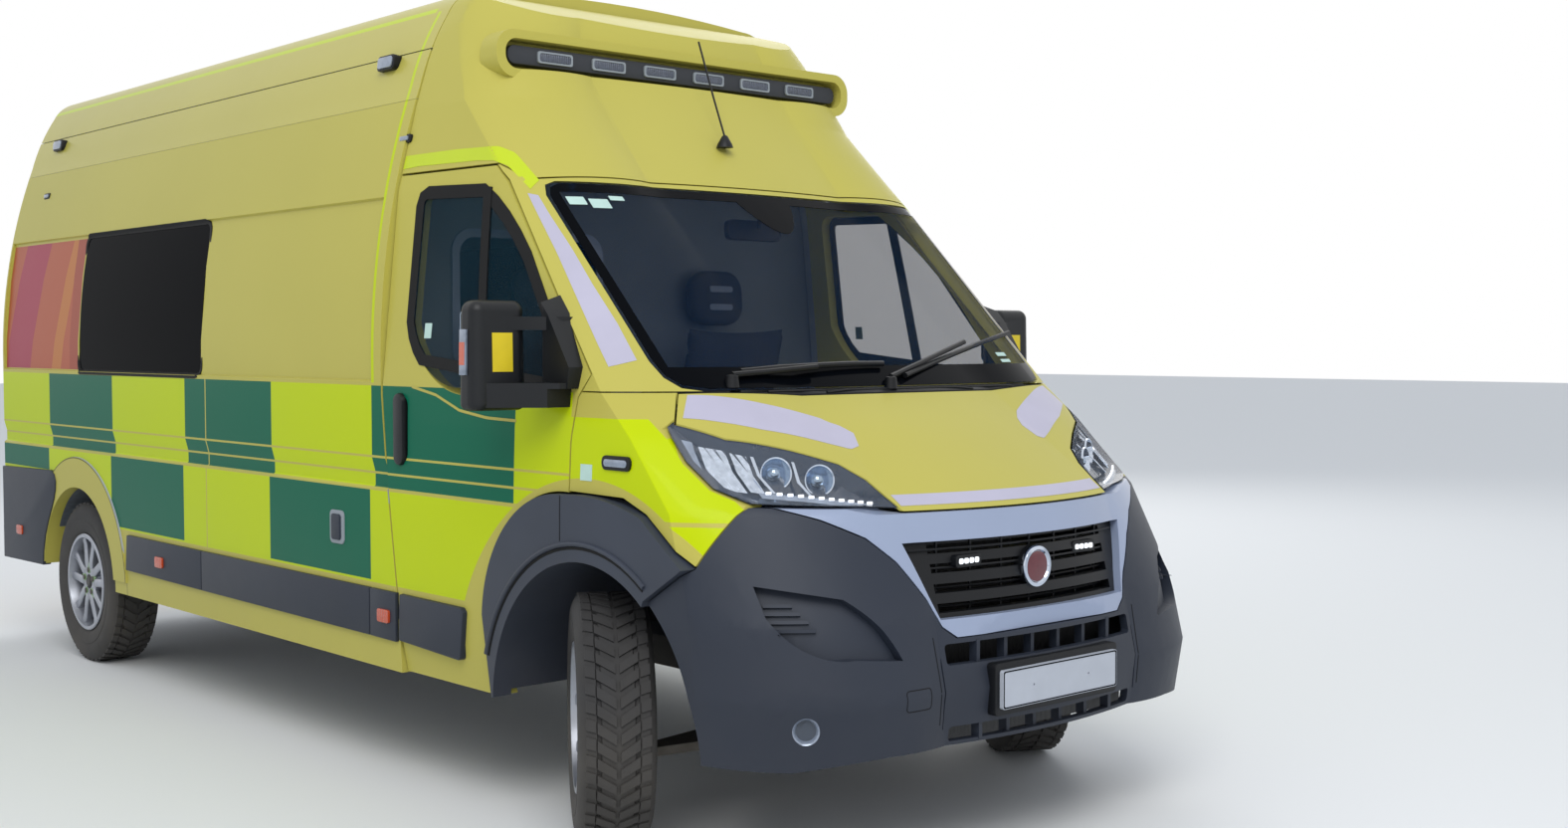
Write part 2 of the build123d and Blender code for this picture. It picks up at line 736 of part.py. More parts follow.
with BuildPart() as sliding_glass:
    add(glass_tube.part)
    with BuildSketch(Plane.XZ.offset(-700)):
        with Locations((235, 1672)):
            RectangleRounded(998, 538, 49)
    extrude(amount=-500, mode=Mode.INTERSECT)

# Rear doors, each a deep pressed leaf with a window
with BuildPart() as rear_door_right:
    add(rear_opening(GAP))
    extrude(amount=50, dir=FORWARD)
    with BuildSketch(Plane.XY.offset(200)):
        with Locations((REAR_X + 25, 600)):
            Rectangle(100, 1204)
    extrude(amount=2600, mode=Mode.SUBTRACT)
    with BuildSketch(Plane.XY.offset(200)):
        with Locations((REAR_X + 25, 0)):
            Rectangle(100, 2400)
    extrude(amount=372, mode=Mode.SUBTRACT)
    with BuildSketch(Plane.YZ.offset(REAR_X)):
        with Locations((-435, 1680)):
            RectangleRounded(560, 560, 60)
    extrude(amount=60, mode=Mode.SUBTRACT)
    with BuildSketch(Plane.YZ.offset(REAR_X)):
        with Locations((-440, 1000)):
            RectangleRounded(640, 420, 60)
    extrude(amount=8, mode=Mode.SUBTRACT)
    # Three hinges, each a leaf on the door with its barrel round the joint's axis
    with BuildSketch(Plane.YZ.offset(REAR_X - 8)):
        with Locations((-841, 660), (-841, 1340), (-841, 1700)):
            Rectangle(82, 70)
    extrude(amount=10)
    for foot in (620, 1300, 1660):
        with BuildSketch(Plane.XY.offset(foot)):
            with Locations((REAR_X - 14, -888)):
                Circle(10)
        extrude(amount=80)

with BuildPart() as rear_door_left:
    mirror(rear_door_right.part, about=Plane.XZ)

with BuildPart() as rear_glass_right:
    with BuildSketch(Plane.YZ.offset(REAR_X + 10)):
        with Locations((-435, 1680)):
            RectangleRounded(558, 558, 59)
    extrude(amount=6)

with BuildPart() as rear_glass_left:
    mirror(rear_glass_right.part, about=Plane.XZ)

with BuildPart() as tail_lamp_right:
    with BuildSketch(Plane.YZ.offset(REAR_X)):
        with Locations((-955, 1010)):
            RectangleRounded(110, 480, 20)
    extrude(amount=-16)

with BuildPart() as tail_lamp_left:
    mirror(tail_lamp_right.part, about=Plane.XZ)

# Rear bumper with its step and the wraps round each corner
with BuildPart() as rear_bumper:
    with BuildSketch(Plane.XY.offset(400)):
        with Locations((REAR_X + 22, 0)):
            Rectangle(114, 2 * HALF_WIDTH + 2)
        with Locations((REAR_X + 60, 0)):
            Rectangle(100, 1740, mode=Mode.SUBTRACT)
    extrude(amount=160)
    with BuildSketch(Plane.XZ.offset(HALF_WIDTH)):
        with BuildLine():
            Polyline(
                (REAR_X, 424), (REAR_X, 860), (REAR_X + 200, 830),
                (REAR_X + 600, 640), (REAR_X + 700, 470),
                (REAR_X + 720, 424), (REAR_X, 424))
        make_face()
    extrude(amount=11)
    with BuildSketch(Plane.XZ.offset(-HALF_WIDTH - 11)):
        with BuildLine():
            Polyline(
                (REAR_X, 424), (REAR_X, 860), (REAR_X + 200, 830),
                (REAR_X + 600, 640), (REAR_X + 700, 470),
                (REAR_X + 720, 424), (REAR_X, 424))
        make_face()
    extrude(amount=11)

    for side in (-1, 1):
        with BuildSketch(Plane.XZ.offset(side * 1040 - 30)):
            with Locations((REAR_AXLE_X, TYRE_R)):
                Circle(597)
        extrude(amount=60, mode=Mode.SUBTRACT)

# Load floor with the wheel boxes over the rear wheels
with BuildPart() as load_floor:
    with BuildSketch(Plane.XY.offset(560)):
        with Locations(((REAR_X + 65 + 854) / 2, 0)):
            Rectangle(854 - REAR_X - 65, 1832)
    extrude(amount=40)
    with BuildSketch(Plane.XZ.offset(-981)):
        with Locations((REAR_AXLE_X, TYRE_R)):
            Circle(REAR_ARCH_R + 12)
        with Locations((REAR_AXLE_X, 220)):
            Rectangle(1200, 680, mode=Mode.SUBTRACT)
    extrude(amount=1962)
    with BuildSketch(Plane.XY.offset(600)):
        with Locations((REAR_AXLE_X, 0)):
            Rectangle(1000, 2 * 735)
    extrude(amount=500, mode=Mode.SUBTRACT)
    with BuildSketch(Plane.XY.offset(401)):
        with Locations((REAR_AXLE_X, -966), (REAR_AXLE_X, 966)):
            Rectangle(1000, 100)
    extrude(amount=200, mode=Mode.SUBTRACT)
    for side in (-1, 1):
        with BuildSketch(Plane.XZ.offset(side * 865 - 120)):
            with Locations((REAR_AXLE_X, TYRE_R)):
                Circle(REAR_ARCH_R)
        extrude(amount=240, mode=Mode.SUBTRACT)

# Cab floor, firewall and scuttle
with BuildPart() as cab_floor:
    with BuildSketch(Plane.XZ.offset(-900)):
        with BuildLine():
            Polyline(
                (857, 560), (857, 600), (1960, 600), (1960, 1160),
                (1985, 1160), (1985, 560), (857, 560))
        make_face()
    extrude(amount=1800)
    with BuildSketch(Plane.XZ.offset(-815)):
        with BuildLine():
            Polyline(
                (1960, 1150), (1960, 1170), (2225, 1296), (2236, 1270),
                (1985, 1140), (1960, 1150))
        make_face()
    extrude(amount=1630)
    with BuildSketch(Plane.XZ.offset(-1000)):
        with Locations((FRONT_ARCH_X, TYRE_R)):
            Circle(FRONT_ARCH_R + 9)
    extrude(amount=1000 - 585, mode=Mode.SUBTRACT)
    with BuildSketch(Plane.XZ.offset(585)):
        with Locations((FRONT_ARCH_X, TYRE_R)):
            Circle(FRONT_ARCH_R + 9)
    extrude(amount=1000 - 585, mode=Mode.SUBTRACT)

# Ladder frame: two rails and their cross-members
with BuildPart() as chassis:
    with BuildSketch(Plane.XY.offset(440)):
        with Locations((-100, -465), (-100, 465)):
            Rectangle(5570, 70)
        with Locations((-2700, 0), (-1400, 0), (-500, 0), (400, 0), (1300, 0)):
            Rectangle(80, 1000)
        with Locations((2700, 0)):
            Rectangle(60, 1000)
    extrude(amount=120)
    # Hangers over the ends of the leaf springs
    with BuildSketch(Plane.XY.offset(500)):
        with Locations((-2600, 0), (-1350, 0)):
            Rectangle(50, 1210)
    extrude(amount=60)
    # Rear bumper brackets and front crash beam
    with BuildSketch(Plane.XY.offset(440)):
        with Locations((2775, -450), (2775, 450)):
            Rectangle(180, 40)
        with Locations((2865, 0)):
            Rectangle(30, 860)
    extrude(amount=100)

with BuildPart() as bulkhead:
    add(cross_section(858, WALL + 1, FLOOR_Z + 1))
    extrude(amount=30, dir=FORWARD)
    with BuildSketch(Plane.YZ.offset(850)):
        with Locations((-420, 1640)):
            RectangleRounded(620, 480, 60)
    extrude(amount=60, mode=Mode.SUBTRACT)

# Steering column: its plane lies in the wheel's rim
COLUMN = Plane(origin=(1570, -400, 1180), z_dir=(-0.819, 0, 0.574))

with BuildPart() as dashboard:
    with BuildSketch(Plane.XZ.offset(-880)):
        with BuildLine():
            Polyline(
                (1690, 900), (1650, 1120), (1740, 1215), (1955, 1250),
                (1955, 900), (1690, 900))
        make_face()
    extrude(amount=1760)
    with BuildSketch(Plane.XZ.offset(-780)):
        with BuildLine():
            Polyline(
                (1950, 1250), (2130, 1292), (2140, 1268), (1955, 1172),
                (1950, 1250))
        make_face()
    extrude(amount=1560)
    with BuildSketch(COLUMN.offset(-300)):
        Circle(35)
    extrude(amount=300, mode=Mode.SUBTRACT)

with BuildPart() as steering_wheel:
    column = COLUMN
    with BuildSketch(column):
        Circle(190)
        Circle(162, mode=Mode.SUBTRACT)
        Rectangle(360, 44)
        with Locations((0, 0)):
            Circle(70)
    extrude(amount=24)
    with BuildSketch(column.offset(-180)):
        Circle(28)
    extrude(amount=185)

# A seat: base box, cushion, back and head restraint in one solid
with BuildPart() as seat_driver:
    with BuildSketch(Plane.XZ.offset(400 - 245)):
        with BuildLine():
            Polyline(
                (1010, 880), (1040, 960), (1500, 985), (1530, 940),
                (1510, 850), (1450, 830), (1430, 600), (1080, 600),
                (1060, 830), (1010, 880))
        make_face()
    extrude(amount=490)
    with BuildSketch(Plane.XZ.offset(400 - 240)):
        with BuildLine():
            Polyline(
                (1040, 940), (925, 1500), (905, 1560), (950, 1580),
                (1030, 1550), (1160, 985), (1040, 940))
        make_face()
    extrude(amount=480)
    with BuildSketch(Plane.XZ.offset(400 - 130)):
        with BuildLine():
            Polyline(
                (915, 1540), (908, 1770), (960, 1790), (1000, 1760),
                (1000, 1560), (915, 1540))
        make_face()
    extrude(amount=260)

with BuildPart() as seat_passenger:
    mirror(seat_driver.part, about=Plane.XZ)

with BuildPart() as engine:
    with BuildSketch(Plane.XY.offset(430)):
        with Locations((2320, 0)):
            RectangleRounded(620, 520, 40)
    extrude(amount=520)

# Front cross-member with the lower arms out to each knuckle
with BuildPart() as front_subframe:
    with BuildSketch(Plane.XY.offset(300)):
        with Locations((FRONT_AXLE_X, 0)):
            Rectangle(180, 1000)
    extrude(amount=60)
    with BuildSketch(Plane.XY.offset(360)):
        with Locations((FRONT_AXLE_X, -465), (FRONT_AXLE_X, 465)):
            Rectangle(120, 70)
    extrude(amount=80)
    with BuildSketch(Plane.XY.offset(240)):
        with BuildLine():
            Polyline(
                (FRONT_AXLE_X - 90, -440), (FRONT_AXLE_X - 22, -840),
                (FRONT_AXLE_X + 22, -840), (FRONT_AXLE_X + 90, -440),
                (FRONT_AXLE_X - 90, -440))
        make_face()
        with BuildLine():
            Polyline(
                (FRONT_AXLE_X - 90, 440), (FRONT_AXLE_X + 90, 440),
                (FRONT_AXLE_X + 22, 840), (FRONT_AXLE_X - 22, 840),
                (FRONT_AXLE_X - 90, 440))
        make_face()
    extrude(amount=28)
    with BuildSketch(Plane.XY.offset(240)):
        with Locations((FRONT_AXLE_X, -470), (FRONT_AXLE_X, 470)):
            Rectangle(180, 60)
    extrude(amount=70)

# A steered knuckle, drawn round its kingpin axis: upright, boss and spindle
with BuildPart() as knuckle_form:
    with BuildSketch(Plane.XZ.offset(-30)):
        with Locations((0, 410)):
            RectangleRounded(110, 250, 30)
    extrude(amount=40)
    with BuildSketch(Plane.XZ):
        with Locations((0, TYRE_R)):
            Circle(34)
    extrude(amount=156)
    with BuildSketch(Plane.XY.offset(276)):
        Circle(20)
    extrude(amount=40)

with BuildPart() as rear_axle:
    with BuildSketch(Plane.XZ.offset(-955)):
        with Locations((REAR_AXLE_X, TYRE_R)):
            Circle(34)
    extrude(amount=1910)
    with BuildSketch(Plane.XZ.offset(-760)):
        with Locations((REAR_AXLE_X, TYRE_R)):
            Circle(55)
    extrude(amount=1520)
    with Locations((REAR_AXLE_X, 0, TYRE_R)):
        Sphere(150)
    # Leaf springs and their seats
    with BuildSketch(Plane.XZ.offset(-600)):
        with BuildLine():
            Line((REAR_AXLE_X - 640, 470), (REAR_AXLE_X - 640, 500))
            ThreePointArc(
                (REAR_AXLE_X - 640, 500), (REAR_AXLE_X, 400),
                (REAR_AXLE_X + 640, 500))
            Line((REAR_AXLE_X + 640, 500), (REAR_AXLE_X + 640, 470))
            ThreePointArc(
                (REAR_AXLE_X + 640, 470), (REAR_AXLE_X, 340),
                (REAR_AXLE_X - 640, 470))
        make_face()
    extrude(amount=70)
    with BuildSketch(Plane.XZ.offset(530)):
        with BuildLine():
            Line((REAR_AXLE_X - 640, 470), (REAR_AXLE_X - 640, 500))
            ThreePointArc(
                (REAR_AXLE_X - 640, 500), (REAR_AXLE_X, 400),
                (REAR_AXLE_X + 640, 500))
            Line((REAR_AXLE_X + 640, 500), (REAR_AXLE_X + 640, 470))
            ThreePointArc(
                (REAR_AXLE_X + 640, 470), (REAR_AXLE_X, 340),
                (REAR_AXLE_X - 640, 470))
        make_face()
    extrude(amount=70)

# A wheel lies with its axis along Y through the origin; the outer face is -Y
with BuildPart() as rim_form:
    with BuildSketch(Plane.XY):
        with BuildLine():
            Polyline(
                (204, -106), (226, -106), (226, -98), (216, -94),
                (216, 94), (226, 98), (226, 106), (204, 106), (204, -106))
        make_face()
        with BuildLine():
            Polyline(
                (38, -52), (38, -92), (92, -92), (98, -70), (84, -52),
                (60, -50), (60, 20), (150, 20), (150, 46), (46, 46),
                (46, -52), (38, -52))
        make_face()
    revolve(axis=Axis.Y)
    # Five twin spokes
    for turn in range(5):
        for lean in (-11, 11):
            spoke = Plane.XZ.rotated((0, 72 * turn + lean, 0))
            with BuildSketch(spoke.offset(52)):
                with Locations((146, 0)):
                    Rectangle(128, 26)
            extrude(amount=34)

with BuildPart() as tyre_form:
    with BuildSketch(Plane.XY):
        with BuildLine():
            Polyline((217, -90), (240, -104))
            ThreePointArc((240, -104), (300, -TYRE_W / 2), (350, -103))
            Polyline(
                (350, -103), (366, -90), (371, -62), (360, -58), (360, -48),
                (TYRE_R, -44), (TYRE_R, 44), (360, 48), (360, 58), (371, 62),
                (366, 90), (350, 103))
            ThreePointArc((350, 103), (300, TYRE_W / 2), (240, 104))
            Polyline((240, 104), (217, 90), (217, -90))
        make_face()
    revolve(axis=Axis.Y)

# Long bar of emergency lamps in the cove above the windscreen
with BuildPart() as light_bar:
    with BuildSketch(Plane.YZ.offset(1212)):
        with Locations((0, 2455)):
            RectangleRounded(1508, 64, 30)
    extrude(amount=76)

# Wheels: where each sits and how far it is turned about the vertical
Wheel = namedtuple("Wheel", "name x y turn")

STEER = radians(STEER_DEG)
OFFSET = WHEEL_Y - KINGPIN_Y
WHEELS = (
    Wheel("front_right", FRONT_AXLE_X + OFFSET * sin(STEER),
          -KINGPIN_Y - OFFSET * cos(STEER), STEER_DEG),
    Wheel("front_left", FRONT_AXLE_X - OFFSET * sin(STEER),
          KINGPIN_Y + OFFSET * cos(STEER), STEER_DEG + 180),
    Wheel("rear_right", REAR_AXLE_X, -895, 0),
    Wheel("rear_left", REAR_AXLE_X, 895, 180),
)

os.makedirs("parts", exist_ok=True)

for wheel in WHEELS:
    seat = Location((wheel.x, wheel.y, TYRE_R), (0, 0, wheel.turn))
    with BuildPart() as rim:
        with Locations(seat):
            add(rim_form.part)
    rim.part.label = f"rim_{wheel.name}"
    export_step(rim.part, f"parts/rim_{wheel.name}.step")
    with BuildPart() as tyre:
        with Locations(seat):
            add(tyre_form.part)
    tyre.part.label = f"tyre_{wheel.name}"
    export_step(tyre.part, f"parts/tyre_{wheel.name}.step")

with BuildPart() as knuckle_right:
    with Locations(Location((FRONT_AXLE_X, -KINGPIN_Y, 0), (0, 0, STEER_DEG))):
        add(knuckle_form.part)

with BuildPart() as knuckle_left:
    with Locations(Location((FRONT_AXLE_X, KINGPIN_Y, 0), (0, 0, STEER_DEG + 180))):
        add(knuckle_form.part)

PIECES = (
    ("side_panel_right", side_right),
    ("side_panel_left", side_left),
    ("sliding_door", sliding_door),
    ("roof", roof),
    ("roof_fairing", roof_fairing),
    ("windscreen", windscreen),
    ("cab_frame", cab_frame),
    ("cab_door_right", cab_door_right),
    ("cab_door_left", cab_door_left),
    ("door_glass_right", door_glass_right),
    ("door_glass_left", door_glass_left),
    ("mirror_right", mirror_right),
    ("mirror_left", mirror_left),
    ("bonnet", bonnet),
    ("wing_right", wing_right),
    ("wing_left", wing_left),
    ("headlamp_right", headlamp_right),
    ("headlamp_left", headlamp_left),
    ("cowl", cowl),
    ("front_bumper", front_bumper_whole),
    ("grille_surround", grille_surround),
    ("grille", grille),
    ("front_plate", front_plate),
    ("arch_right", arch_right),
    ("arch_left", arch_left),
    ("strip_right", strip_right),
    ("strip_left", strip_left),
    ("side_glass_right", side_glass_right),
    ("side_glass_left", side_glass_left),
    ("sliding_glass", sliding_glass),
    ("rear_door_right", rear_door_right),
    ("rear_door_left", rear_door_left),
    ("rear_glass_right", rear_glass_right),
    ("rear_glass_left", rear_glass_left),
    ("tail_lamp_right", tail_lamp_right),
    ("tail_lamp_left", tail_lamp_left),
    ("rear_bumper", rear_bumper),
    ("load_floor", load_floor),
    ("cab_floor", cab_floor),
    ("chassis", chassis),
    ("bulkhead", bulkhead),
    ("dashboard", dashboard),
    ("steering_wheel", steering_wheel),
    ("seat_driver", seat_driver),
    ("seat_passenger", seat_passenger),
    ("engine", engine),
    ("front_subframe", front_subframe),
    ("knuckle_right", knuckle_right),
    ("knuckle_left", knuckle_left),
    ("rear_axle", rear_axle),
    ("light_bar", light_bar),
)

for label, piece in PIECES:
    piece.part.label = label
    export_step(piece.part, f"parts/{label}.step")
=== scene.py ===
"""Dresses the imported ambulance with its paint, glass, lamps, wheels and cab."""

import json
import logging
import math
from collections.abc import Callable
from dataclasses import dataclass
from enum import Enum

import bmesh
import bpy
from mathutils import Matrix, Vector
from mathutils.bvhtree import BVHTree

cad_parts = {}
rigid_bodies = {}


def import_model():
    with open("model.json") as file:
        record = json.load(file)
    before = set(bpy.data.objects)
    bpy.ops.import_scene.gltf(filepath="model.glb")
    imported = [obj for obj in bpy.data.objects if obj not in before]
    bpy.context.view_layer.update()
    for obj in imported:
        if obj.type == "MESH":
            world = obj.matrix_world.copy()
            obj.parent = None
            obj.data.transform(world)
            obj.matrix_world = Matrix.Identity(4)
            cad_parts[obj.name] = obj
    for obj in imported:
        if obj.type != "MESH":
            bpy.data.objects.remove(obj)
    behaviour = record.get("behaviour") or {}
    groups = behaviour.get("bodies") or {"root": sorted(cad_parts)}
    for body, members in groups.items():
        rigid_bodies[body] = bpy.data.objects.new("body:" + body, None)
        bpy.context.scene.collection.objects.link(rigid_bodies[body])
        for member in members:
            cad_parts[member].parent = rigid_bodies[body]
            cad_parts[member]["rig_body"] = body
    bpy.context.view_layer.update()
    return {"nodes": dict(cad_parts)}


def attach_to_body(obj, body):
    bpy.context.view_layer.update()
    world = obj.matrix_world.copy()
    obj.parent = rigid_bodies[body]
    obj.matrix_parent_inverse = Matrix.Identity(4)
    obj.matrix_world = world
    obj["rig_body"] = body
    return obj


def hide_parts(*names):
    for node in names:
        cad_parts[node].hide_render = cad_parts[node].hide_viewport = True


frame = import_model()

LOG = logging.getLogger("ambulance")
Point = tuple[float, float, float]
Flat = tuple[float, float]
Tree = bpy.types.NodeTree
Node = bpy.types.Node
Socket = bpy.types.NodeSocket
Piece = bpy.types.Object
Mesh = bmesh.types.BMesh

# Driving sizes of the vehicle, in metres
REAR_AXLE = -1.975
FRONT_ARCH = 2.078
TYRE_RADIUS = 0.372
REAR_FACE = -2.990


class Side(Enum):
    """The two sides of the vehicle, as the sign of Y."""

    RIGHT = -1
    LEFT = 1

    @property
    def word(self) -> str:
        """The side's name in lower case, as the nodes spell it."""
        return self.name.lower()


class View(Enum):
    """The direction from which an outline is laid onto the bodywork."""

    SIDE = "side"
    FRONT = "front"
    TOP = "top"


def linear(code: str) -> tuple[float, float, float, float]:
    """Turns an sRGB hex code into linear colour.

    Args:
        code: Six hex digits after a hash.

    Returns:
        Red, green, blue and an alpha of one.
    """
    parts = [int(code[i:i + 2], 16) / 255 for i in (1, 3, 5)]
    out = [v / 12.92 if v <= 0.04045 else ((v + 0.055) / 1.055) ** 2.4 for v in parts]
    return (out[0], out[1], out[2], 1.0)


def add_node(tree: Tree, kind: str, values: dict | None = None,
             wires: dict | None = None) -> Node:
    """Adds a node with its settings and links.

    Args:
        tree: The tree that gets the node.
        kind: The node's type name.
        values: Settings of the node, or values of its inputs by name or number.
        wires: For each named or numbered input the output that feeds it, or a node for
            that node's first output.

    Returns:
        The new node.
    """
    node = tree.nodes.new(kind)
    for key, value in (values or {}).items():
        if isinstance(key, str) and hasattr(node, key):
            setattr(node, key, value)
        else:
            node.inputs[key].default_value = value
    for key, source in (wires or {}).items():
        first = source.outputs[0] if isinstance(source, Node) else source
        tree.links.new(first, node.inputs[key])
    return node


def layered(tree: Tree, under: Socket, layers: list[tuple[Socket, str]]) -> Socket:
    """Lays colours over one another, from the first to the last.

    Args:
        tree: The material's tree.
        under: The colour below them all.
        layers: For each layer the mask, which is one where it shows, and its colour.

    Returns:
        The colour output.
    """
    for mask, colour in layers:
        mix = add_node(tree, "ShaderNodeMix", {"data_type": "RGBA", 7: linear(colour)},
                       {0: mask, 6: under})
        under = mix.outputs[2]
    return under


ROAD_DUST = "#6E675C"
GLOSS_SPREAD = 0.02


@dataclass(frozen=True)
class Finish:
    """A surface finish: what the part is made of and how that looks.

    Colour mottle and a fine bump come from noise at real sizes in millimetres.
    """

    name: str
    colour: str
    roughness: float = 0.5
    metallic: float = 0.0
    coat: float = 0.0
    mottle: float = 0.06
    mottle_mm: float = 350.0
    grain_mm: float = 0.0
    grain_depth: float = 0.0
    dirt: float = 0.0
    shine: float = 0.5

    def material(self) -> bpy.types.Material:
        """Returns the finish's material, made once and then reused."""
        found = bpy.data.materials.get(self.name)
        if found:
            return found
        made = bpy.data.materials.new(self.name)
        made.use_nodes = True
        tree = made.node_tree
        tree.nodes.clear()
        shader = self.shader(tree, add_node(tree, "ShaderNodeTexCoord"))
        add_node(tree, "ShaderNodeOutputMaterial", None, {"Surface": shader})
        return made

    def colour_output(self, tree: Tree, place: Node) -> Socket:
        """Builds the base colour with its mottle.

        Args:
            tree: The material's tree.
            place: The Texture Coordinate node.

        Returns:
            The colour output.
        """
        base = linear(self.colour)
        noise = add_node(tree, "ShaderNodeTexNoise",
                         {"Scale": 1000 / self.mottle_mm, "Detail": 4.0},
                         {"Vector": place.outputs["Object"]})
        ramp = add_node(tree, "ShaderNodeValToRGB", None, {"Fac": noise.outputs["Fac"]})
        low = tuple(v * (1 - self.mottle) for v in base[:3]) + (1.0,)
        high = tuple(min(1.0, v * (1 + self.mottle)) for v in base[:3]) + (1.0,)
        ramp.color_ramp.elements[0].position = 0.35
        ramp.color_ramp.elements[0].color = low
        ramp.color_ramp.elements[1].position = 0.65
        ramp.color_ramp.elements[1].color = high
        return ramp.outputs["Color"]

    def soiled(self, tree: Tree, place: Node, colour: Socket) -> Socket:
        """Adds road dust that thins out with height.

        Args:
            tree: The material's tree.
            place: The Texture Coordinate node.
            colour: The clean colour.

        Returns:
            The soiled colour, or the clean one if the finish has no dirt.
        """
        if not self.dirt:
            return colour
        split = add_node(tree, "ShaderNodeSeparateXYZ", None, {0: place.outputs["Object"]})
        height = add_node(tree, "ShaderNodeMapRange",
                          {"From Min": 0.95, "From Max": 0.25, "To Max": self.dirt},
                          {"Value": split.outputs["Z"]})
        patches = add_node(tree, "ShaderNodeTexNoise", {"Scale": 5.0, "Detail": 8.0},
                           {"Vector": place.outputs["Object"]})
        share = add_node(tree, "ShaderNodeMath", {"operation": "MULTIPLY"},
                         {0: height, 1: patches.outputs["Fac"]})
        return layered(tree, colour, [(share.outputs[0], ROAD_DUST)])

    def shader(self, tree: Tree, place: Node) -> Node:
        """Builds the shader, with its dust, uneven gloss and grain.

        Args:
            tree: The material's tree.
            place: The Texture Coordinate node.

        Returns:
            The shader node.
        """
        colour = self.soiled(tree, place, self.colour_output(tree, place))
        rough = add_node(tree, "ShaderNodeTexNoise", {"Scale": 14.0, "Detail": 3.0},
                         {"Vector": place.outputs["Object"]})
        spread = add_node(tree, "ShaderNodeMapRange",
                          {"To Min": max(GLOSS_SPREAD, self.roughness - GLOSS_SPREAD),
                           "To Max": min(1.0, self.roughness + GLOSS_SPREAD)},
                          {"Value": rough.outputs["Fac"]})
        shader = add_node(tree, "ShaderNodeBsdfPrincipled",
                          {"Metallic": self.metallic, "Coat Weight": self.coat,
                           "Specular IOR Level": self.shine},
                          {"Base Color": colour, "Roughness": spread})
        if self.grain_mm:
            grain = add_node(tree, "ShaderNodeTexNoise",
                             {"Scale": 1000 / self.grain_mm, "Detail": 2.0},
                             {"Vector": place.outputs["Object"]})
            bump = add_node(tree, "ShaderNodeBump",
                            {"Strength": self.grain_depth, "Distance": 0.001},
                            {"Height": grain.outputs["Fac"]})
            tree.links.new(bump.outputs[0], shader.inputs["Normal"])
        return shader


@dataclass(frozen=True)
class Glass(Finish):
    """Clear or tinted glass and clear lens plastic."""

    ior: float = 1.5
    opacity: float = 0.2

    def shader(self, tree: Tree, place: Node) -> Node:
        """Builds a thin pane: part clear, part tinted gloss.

        Args:
            tree: The material's tree.
            place: The Texture Coordinate node.

        Returns:
            The shader node.
        """
        return add_node(tree, "ShaderNodeBsdfPrincipled",
                        {"Roughness": self.roughness, "IOR": self.ior,
                         "Alpha": self.opacity, "Specular IOR Level": self.shine},
                        {"Base Color": self.colour_output(tree, place)})


@dataclass(frozen=True)
class Glow(Finish):
    """A lamp part that gives off a little light of its own colour."""

    strength: float = 0.6

    def shader(self, tree: Tree, place: Node) -> Node:
        """Builds the shader with its emission.

        Args:
            tree: The material's tree.
            place: The Texture Coordinate node.

        Returns:
            The shader node.
        """
        colour = self.colour_output(tree, place)
        return add_node(tree, "ShaderNodeBsdfPrincipled",
                        {"Roughness": self.roughness, "Coat Weight": self.coat,
                         "Emission Strength": self.strength},
                        {"Base Color": colour, "Emission Color": colour})


@dataclass(frozen=True)
class Ribbed(Finish):
    """A finish with fine ribs or threads along one direction."""

    pitch_mm: float = 4.0
    along: Point = (0.0, 0.0, 1.0)
    depth: float = 0.4

    def shader(self, tree: Tree, place: Node) -> Node:
        """Builds the shader with a wave bump.

        Args:
            tree: The material's tree.
            place: The Texture Coordinate node.

        Returns:
            The shader node.
        """
        colour = self.colour_output(tree, place)
        turned = add_node(tree, "ShaderNodeVectorMath",
                          {"operation": "DOT_PRODUCT", 1: self.along},
                          {0: place.outputs["Object"]})
        phase = add_node(tree, "ShaderNodeMath",
                         {"operation": "MULTIPLY", 1: 2 * math.pi * 1000 / self.pitch_mm},
                         {0: turned.outputs["Value"]})
        wave = add_node(tree, "ShaderNodeMath", {"operation": "SINE"}, {0: phase})
        bump = add_node(tree, "ShaderNodeBump", {"Strength": self.depth, "Distance": 0.002},
                        {"Height": wave})
        return add_node(tree, "ShaderNodeBsdfPrincipled",
                        {"Roughness": self.roughness, "Metallic": self.metallic,
                         "Coat Weight": self.coat},
                        {"Base Color": colour, "Normal": bump})


@dataclass(frozen=True)
class Patch:
    """One block of reflective film on the side, between two X and two Z.

    Its upright edges lean by the metres of X that they move per metre of Z.
    """

    rear: float
    front: float
    low: float
    high: float
    colour: str
    lean: float = 0.0


@dataclass(frozen=True)
class Ring:
    """A ring of one colour round a wheel, between two radii."""

    x: float
    inner: float
    outer: float
    colour: str


LINING = "#A9AEB1"
CAB_REAR = 0.94
ROOM_MIDDLE = 1.4
# How far a face has to look outwards for film, or inwards for lining, in metres
LOOKS_OUT = 0.02
LOOKS_IN = -0.05


